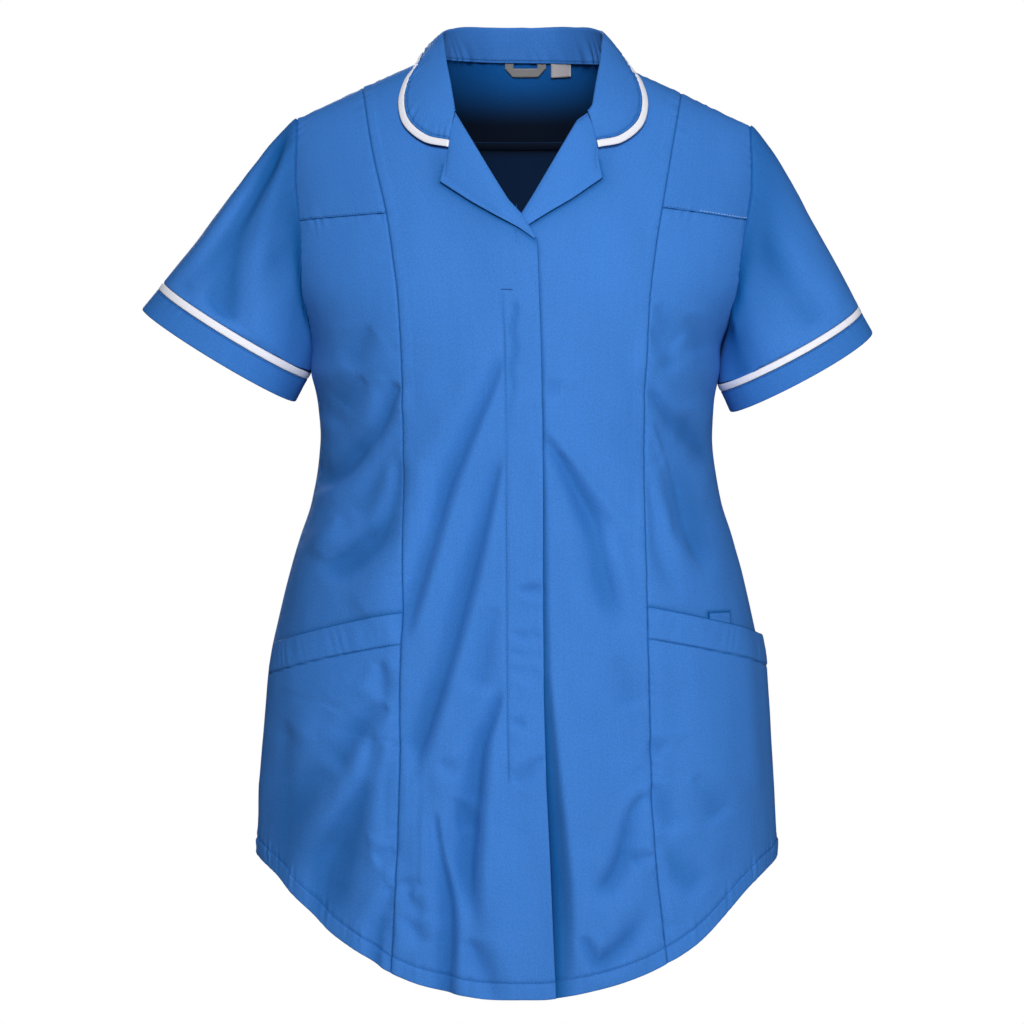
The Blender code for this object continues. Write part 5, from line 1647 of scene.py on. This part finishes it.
def sleeve(sideName):
    plan = sleevePlan[sideName]
    side = plan["side"]
    rows = np.concatenate((np.linspace(0.0, 1.0, 46), 1.0 + np.linspace(0.0, 1.0, 46)[1:]))
    frontPhi, frontHeight = armholeRow(rows, side, False)
    backPhi, backHeight = armholeRow(rows[-2::-1], side, True)
    phi = np.concatenate((frontPhi, backPhi))
    height = np.concatenate((frontHeight, backHeight))
    ring = tunicPoint(phi, height)
    facing = tunicFacing(phi, height)
    front = lengthsAlong(ring[: len(rows)])
    back = lengthsAlong(ring[len(rows) - 1 :])
    places = np.concatenate((front / front[-1] * math.pi, math.pi + back[1:] / back[-1] * math.pi))
    turns = np.linspace(0.0, 2.0 * math.pi, 161)
    ring = readAt(turns, places, ring)
    facing = unitOf(readAt(turns, places, facing))
    trimTop = sleeveRing(plan, plan["trim"], plan["trimHalf"], turns, sleevePlan["cuffDepth"])
    cuffEnd = sleeveRing(plan, plan["cuff"], plan["cuffHalf"], turns, sleevePlan["cuffDepth"] + 0.001)
    down = unitOf(cuffEnd - trimTop)
    head = plan["head"]
    levels = spreadShares(sleevePlan["length"], rowPlan["middle"])[:, None, None]
    top = ((1.0 + np.cos(turns)) / 2.0)[:, None]
    rise = sleevePlan["rise"]
    start = ring + facing * rise
    gap = np.linalg.norm(trimTop - start, axis=1)[:, None]
    least, (inwards, low), full = sleevePlan["leave"]
    leave = np.array((side * head[0], 0.0, head[1])) * (head[2] * top + least)
    leave = leave - np.array((side * inwards, 0.0, low)) * (1.0 - top) ** 2
    leave = leave * np.minimum(gap / full, 1.0)
    base, more = sleevePlan["arrive"]
    arrive = down * gap * (base + more * top)
    a, b, c, d = curveWeights(levels)
    grid = a * start + b * leave + c * trimTop + d * arrive
    out = gridFacing(grid, True)
    if np.dot(out[8, 0], np.array((side * 0.5, 0.0, 1.0))) < 0:
        out = -out
    far = edgeDistances(grid)
    share = levels[:, :, 0]
    degrees = np.degrees(turns)[None, :]
    relief = np.zeros(grid.shape[:2])
    for height, turnA, levelA, turnB, levelB, width in sleevePlan["creases"] + plan["creases"]:
        t = np.clip((share - levelA) / (levelB - levelA), 0.0, 1.0)
        miss = (degrees - (turnA + (turnB - turnA) * t)) / 180.0 * sleevePlan["length"]
        reach = miss / (width * 0.001 * (0.7 + 0.5 * t))
        fade = softStep((share - levelA + 0.12) / 0.25) * softStep((levelB + 0.06 - share) / 0.10)
        wave = bell(reach, 1.0) - 0.30 * bell(np.abs(reach) - 1.9, 0.8)
        relief = relief + height * 0.001 * fade * wave
    relief = relief + seamRelief(far["top"], far["left"], 3.0)
    relief = relief + seamRelief(far["bottom"], far["left"], 4.0) * 0.6
    for seed, size, amount in unevenPlan["waves"]:
        relief = relief + amount * unevenWaves(grid, size, seed) * softStep(far["top"] / 0.03)
    relief = relief * softStep(far["top"] / 0.004 + 0.25)
    sleeveGrid = grid + out * (rise + relief)[..., None]
    sleeveGrid[-1] -= down * seamPlan["pull"]
    intoBody = unitOf(grid[0] - grid[6])
    tuck = [start - facing * (rise + sink) + intoBody * step for step, sink in sleevePlan["tuck"]]
    sleeveGrid = np.concatenate((np.array(tuck), sleeveGrid), axis=0)
    out = np.concatenate((np.repeat(facing[None], 4, axis=0), out), axis=0)
    keepSurface(sideName + "_sleeve", sleeveGrid, out, (4, len(sleeveGrid), 0, len(turns)))
    # painted shade along the seams, beside the armhole, under the arm and in the creases
    depth = paintedShadeOfEdges(far, {"top": "seam", "bottom": "seam"})
    shade = sleevePlan["shade"]
    low = softStep((degrees - 60.0) / 60.0) * softStep((300.0 - degrees) / 60.0)
    beside = shade["beside"] * bell(far["top"], 0.055) + shade["under"] * bell(far["top"], 0.013) * low
    depth = np.maximum(depth, beside + shade["creases"] * softStep(-relief / 0.0042))
    depth = np.pad(depth, ((4, 0), (0, 0)), mode="edge")
    node = sideName + "_sleeve"
    clothPiece(node + "_cloth", sleeveGrid, out, "blue", node, True, depth=depth)
    cuff(sideName, trimTop, cuffEnd, down, out[-1])


# the piping and the cuff band, from the sleeve's end to the cuff's
def cuff(sideName, trimTop, cuffEnd, down, out):
    ends = unitOf(np.cross(np.roll(trimTop[:-1], -1, axis=0) - np.roll(trimTop[:-1], 1, axis=0), down[:-1]))
    ends = np.concatenate((ends, ends[:1]))
    ends = ends * np.sign(np.sum(ends * out, axis=1))[:, None]
    gap = down * seamPlan["pull"]
    split = trimTop + (cuffEnd - trimTop) * sleevePlan["pipingShare"]
    across = np.linspace(0.0, 1.0, 8)[:, None, None]
    strip = (trimTop + gap) * (1 - across) + (split - gap) * across + ends * pipingCrown(across, 0.0006)
    endsGrid = np.repeat(ends[None], 8, axis=0)
    node = sideName + "_cuff"
    clothPiece(node + "_piping", strip, endsGrid, "piping", node + "_trim", True, 0.0012)
    across = spreadShares(0.022, 0.0018)[:, None, None]
    band = (split + gap) * (1 - across) + cuffEnd * across
    far = edgeDistances(band)
    wrinkle = puckers(far["top"], far["left"], 0.0003, 0.012, 0.008, 5.0)
    extra = sleevePlan["rise"] + roundEdge(far["bottom"]) + roundEdge(far["top"], 0.0004) + wrinkle
    endsGrid = np.repeat(ends[None], len(across), axis=0)
    band = band + endsGrid * extra[..., None]
    keepSurface(node, band, endsGrid)
    # painted shade along the stitch line and seam, and over the whole cuff
    depth = np.maximum(paintedShadeAlong(far["top"] - 0.0014, "line"), paintedShadeAlong(far["top"], "seam"))
    depth = np.maximum(depth, sleevePlan["shade"]["cuff"])
    clothPiece(node + "_cloth", band, endsGrid, "blue", node, True, 0.0012, depth)


for sideName in ("right", "left"):
    sleeve(sideName)
print("sleeves made")

loopPlan = {
    "centre": 0.0085,
    "top": 0.0049,
    # distance from the middle and depth below the top along the tape's outer edge, then its inner one
    "outer": ((0.0186, 0.0000), (0.0186, 0.0052), (0.0115, 0.0122), (0.0000, 0.0122)),
    "inner": ((0.0109, 0.0000), (0.0109, 0.0030), (0.0109, 0.0049), (0.0000, 0.0049)),
    "sheet": {"flat": (0.0100, 0.064), "area": 0.00044, "held": "folded", "restsOn": ("back_yoke",)},
}
labelPlan = {
    "left": 0.0318,
    "width": 0.0175,
    "top": 0.0042,
    "height": 0.0128,
    "sheet": {"flat": (0.0180, 0.0132), "area": None, "held": "hung", "restsOn": ("back_yoke",)},
}


insideGap = 0.0030  # of the loop and the label from the back


# points inside the back of the neck, facing in
def insideBack(x, z):
    point, out = tunicSurface(*placeOn(x, z, True), 0.0)
    return point - out * insideGap, -out


# one edge of the tape, from the left arm round to the right one
def tapeEdge(places, count):
    spots = np.array(places)
    spots = np.concatenate((spots * np.array((-1.0, 1.0)), spots[-2::-1]))
    shares = np.linspace(0.0, len(spots) - 1.0, count)
    return readAt(shares, np.arange(len(spots)), spots)


def hangerLoop():
    outer = tapeEdge(loopPlan["outer"], 73)[:, None, :]
    inner = tapeEdge(loopPlan["inner"], 73)[:, None, :]
    flat = outer + (inner - outer) * np.linspace(0.0, 1.0, 7)[None, :, None]
    grid, facing = insideBack(loopPlan["centre"] + flat[..., 0], loopPlan["top"] - flat[..., 1])
    clothPiece("hanger_loop_tape", grid, facing, "tape", "hanger_loop")


def sizeLabel():
    across = np.linspace(0.0, 1.0, 12)[None, :]
    down = np.linspace(0.0, 1.0, 10)[:, None]
    x = labelPlan["left"] + labelPlan["width"] * across + 0.0 * down
    z = labelPlan["top"] - labelPlan["height"] * down + 0.0 * across
    grid, facing = insideBack(x, z)
    clothPiece("size_label_ribbon", grid, facing, "label", "size_label", thick=0.0006)


hangerLoop()
sizeLabel()
print("loop and label made")

stitchPlan = {
    # length, gap and radius of a stitch, and of those packed in the bar tack
    "stitch": (0.0021, 0.0009, 0.00024),
    "tack": (0.0006, 0.0001, 0.000552),
    "sides": 5,
    # along a stitch: share of its length, share of its radius, how far it stands up in radii
    "profile": (
        (0.0, 0.15, -0.7),
        (0.16, 0.85, 0.25),
        (0.5, 1.0, 0.55),
        (0.84, 0.85, 0.25),
        (1.0, 0.15, -0.7),
    ),
    # piece, edge that the line follows, distance from that edge, start and end as shares, thread
    "lines": (
        ("right_front_centre", "bottom", 0.0140, 0.0, 1.0, "thread"),
        ("left_front_centre", "bottom", 0.0140, 0.30, 1.0, "thread"),
        ("right_pocket", "bottom", 0.0140, 0.0, 1.0, "thread"),
        ("left_pocket", "bottom", 0.0140, 0.0, 1.0, "thread"),
        ("back_panel", "bottom", 0.0140, 0.0, 1.0, "thread"),
        ("right_pocket", "top", 0.0265, 0.0, 1.0, "thread"),
        ("left_pocket", "top", 0.0265, 0.0, 1.0, "thread"),
        ("pen_pocket", "top", 0.0120, 0.0, 1.0, "thread"),
        ("pen_pocket", "left", 0.0015, 0.0, 1.0, "thread"),
        ("pen_pocket", "right", 0.0015, 0.0, 1.0, "thread"),
        ("pen_pocket", "bottom", 0.0015, 0.0, 1.0, "thread"),
        ("right_front_yoke", "bottom", 0.0016, 0.0, 1.0, "thread"),
        ("left_front_yoke", "bottom", 0.0016, 0.0, 0.30, "thread"),
        ("left_front_yoke", "bottom", 0.0016, 0.36, 1.0, "paleThread"),
        ("back_yoke", "bottom", 0.0016, 0.0, 1.0, "thread"),
        ("collar", "right", 0.0022, 0.0, 1.0, "thread"),
        ("collar", "left", 0.0022, 0.10, 0.90, "thread"),
        ("right_cuff", "top", 0.0014, 0.0, 1.0, "thread"),
        ("left_cuff", "top", 0.0014, 0.0, 1.0, "thread"),
    ),
    # x and z of the line that holds the fastening strip behind the right front
    "placket": (
        (-0.0118, -0.2110),
        (-0.0108, -0.2157),
        (-0.0091, -0.2567),
        (-0.0083, -0.3380),
        (-0.0075, -0.4610),
        (-0.0067, -0.5740),
        (-0.0058, -0.6080),
    ),
    "barTack": ((-0.0124, -0.2075), (-0.0026, -0.2078)),
}


# a line on a piece at a distance from one of its edges
def lineFromEdge(name, edge, distance, start, end):
    grid, facing, far = surfaces[name]
    away = far[edge]
    if edge in ("left", "right"):
        grid, facing, away = grid.transpose(1, 0, 2), facing.transpose(1, 0, 2), away.T
    if edge in ("right", "bottom"):
        grid, facing, away = grid[::-1], facing[::-1], away[::-1]
    points = np.array([readAt(distance, away[:, j], grid[:, j]) for j in range(grid.shape[1])])
    outs = np.array([readAt(distance, away[:, j], facing[:, j]) for j in range(grid.shape[1])])
    first, last = (int(round(share * (len(points) - 1))) for share in (start, end))
    return points[first : last + 1], unitOf(outs[first : last + 1])


# stitches lie half sunk in the cloth, each a short rounded bar of thread
def stitchBars(points, outs, length, gap, radius):
    far = lengthsAlong(points)
    count = max(int(far[-1] / (length + gap)), 1)
    step = far[-1] / count
    starts = np.arange(count) * step
    shares, widths, rises = np.array(stitchPlan["profile"]).T
    rises = rises * radius
    spots = starts[:, None] + shares[None, :] * (step - gap)
    centre = readAt(spots, far, points)
    out = unitOf(readAt(spots, far, outs))
    along = unitOf(centre[:, -1] - centre[:, 0])[:, None, :]
    side = unitOf(np.cross(out, along + 0.0 * out))
    turns = np.linspace(0.0, 2.0 * math.pi, stitchPlan["sides"], endpoint=False)
    ring = side[:, :, None, :] * np.cos(turns)[None, None, :, None]
    ring = ring + out[:, :, None, :] * np.sin(turns)[None, None, :, None] * 0.8
    ring = ring * (radius * widths)[None, :, None, None]
    return centre[:, :, None, :] + out[:, :, None, :] * rises[None, :, None, None] + ring


def stitchPiece(name, parts, finish):
    sides = stitchPlan["sides"]
    points = []
    cells = []
    total = 0
    for bars in parts:
        count, rings = bars.shape[:2]
        for _ in range(count):
            for j in range(rings - 1):
                for k in range(sides):
                    a = total + j * sides + k
                    b = total + j * sides + (k + 1) % sides
                    cells.append((a, b, b + sides, a + sides))
            cells.append(tuple(total + k for k in range(sides))[::-1])
            cells.append(tuple(total + (rings - 1) * sides + k for k in range(sides)))
            total += rings * sides
        points.append(bars.reshape(-1, 3))
    mesh = bpy.data.meshes.new(name)
    mesh.from_pydata(np.concatenate(points).tolist(), [], cells)
    mesh.uv_layers.new(name="cloth")
    mesh.polygons.foreach_set("use_smooth", np.ones(len(mesh.polygons), dtype=bool))
    mesh.materials.append(materials[finish])
    made = bpy.data.objects.new(name, mesh)
    bpy.context.scene.collection.objects.link(made)
    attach(made, "root")


def sewStitches():
    plan = stitchPlan
    sewn = {}
    for name, edge, distance, start, end, thread in plan["lines"]:
        bars = stitchBars(*lineFromEdge(name, edge, distance, start, end), *plan["stitch"])
        sewn.setdefault((name, thread), []).append(bars)
    for places, stitch in ((plan["placket"], plan["stitch"]), (plan["barTack"], plan["tack"])):
        spots = np.array(places)
        far = lengthsAlong(spots)
        fine = np.linspace(0.0, far[-1], max(int(far[-1] / 0.002), 8))
        x, z = readAt(fine, far, spots).T
        bars = stitchBars(*tunicSurface(*placeOn(x, z), flapLift(x, z)), *stitch)
        sewn.setdefault(("right_front_centre", "thread"), []).append(bars)
    for (name, thread), parts in sewn.items():
        stitchPiece(name + ("_stitches" if thread == "thread" else "_pale_stitches"), parts, thread)


sewStitches()
print("stitches sewn")

studioPlan = {
    "camera": (-0.0034, -3.2, -0.389),
    "sensor": 36.0,
    "lens": 131.6,
    "floor": {"level": -1.9, "size": 3.6, "colour": (0.86, 0.86, 0.86, 1.0), "roughness": 0.9},
    "lamps": {
        "key": {"place": (0.05, -2.8, 0.9), "size": 1.1, "power": 77.0},
        "high": {"place": (-1.6, -2.3, 2.2), "size": 1.2, "power": 12.0},
        "low": {"place": (2.6, -2.2, -0.6), "size": 1.2, "power": 24.0},
        "back": {"place": (-0.5, 2.9, 0.7), "size": 1.3, "power": 72.0},
    },
    "sky": 0.04,
    "aim": (0.0, 0.0, -0.38),
}


def addFloor(plan):
    pale = bpy.data.materials.new("pale floor")
    pale.use_nodes = True
    shader = pale.node_tree.nodes["Principled BSDF"]
    shader.inputs["Base Color"].default_value = plan["colour"]
    shader.inputs["Roughness"].default_value = plan["roughness"]
    half = plan["size"] / 2.0
    spots = [(x * half, y * half, plan["level"]) for x, y in ((-1, -1), (1, -1), (1, 1), (-1, 1))]
    mesh = bpy.data.meshes.new("floor")
    mesh.from_pydata(spots, [], [(0, 1, 2, 3)])
    mesh.materials.append(pale)
    made = bpy.data.objects.new("floor", mesh)
    bpy.context.scene.collection.objects.link(made)


def addLamp(name, plan):
    lamp = bpy.data.lights.new(name, "AREA")
    lamp.shape = "DISK"
    lamp.size = plan["size"]
    lamp.energy = plan["power"]
    made = bpy.data.objects.new(name, lamp)
    made.location = plan["place"]
    way = Vector(studioPlan["aim"]) - Vector(plan["place"])
    made.rotation_euler = way.to_track_quat("-Z", "Y").to_euler()
    bpy.context.scene.collection.objects.link(made)


def studio():
    scene = bpy.context.scene
    camera = bpy.data.cameras.new("camera")
    camera.sensor_width = studioPlan["sensor"]
    camera.lens = studioPlan["lens"]
    camera.clip_end = 60.0
    made = bpy.data.objects.new("camera", camera)
    made.location = studioPlan["camera"]
    made.rotation_euler = (math.radians(90.0), 0.0, 0.0)
    scene.collection.objects.link(made)
    scene.camera = made
    for name, plan in studioPlan["lamps"].items():
        addLamp(name, plan)
    world = bpy.data.worlds.new("studio")
    world.use_nodes = True
    sky = world.node_tree.nodes["Background"]
    sky.inputs["Color"].default_value = (1.0, 1.0, 1.0, 1.0)
    sky.inputs["Strength"].default_value = studioPlan["sky"]
    # seen straight on, the studio round the object is white
    tree = world.node_tree
    around = addNode(tree, "ShaderNodeBackground", Strength=1.0)
    around.inputs["Color"].default_value = (1.0, 1.0, 1.0, 1.0)
    rays = addNode(tree, "ShaderNodeLightPath")
    mix = addNode(tree, "ShaderNodeMixShader")
    tree.links.new(rays.outputs["Is Camera Ray"], mix.inputs[0])
    tree.links.new(sky.outputs["Background"], mix.inputs[1])
    tree.links.new(around.outputs["Background"], mix.inputs[2])
    tree.links.new(mix.outputs["Shader"], tree.nodes["World Output"].inputs["Surface"])
    scene.world = world
    scene.view_settings.view_transform = "Standard"
    addFloor(studioPlan["floor"])


studio()
print("studio made")
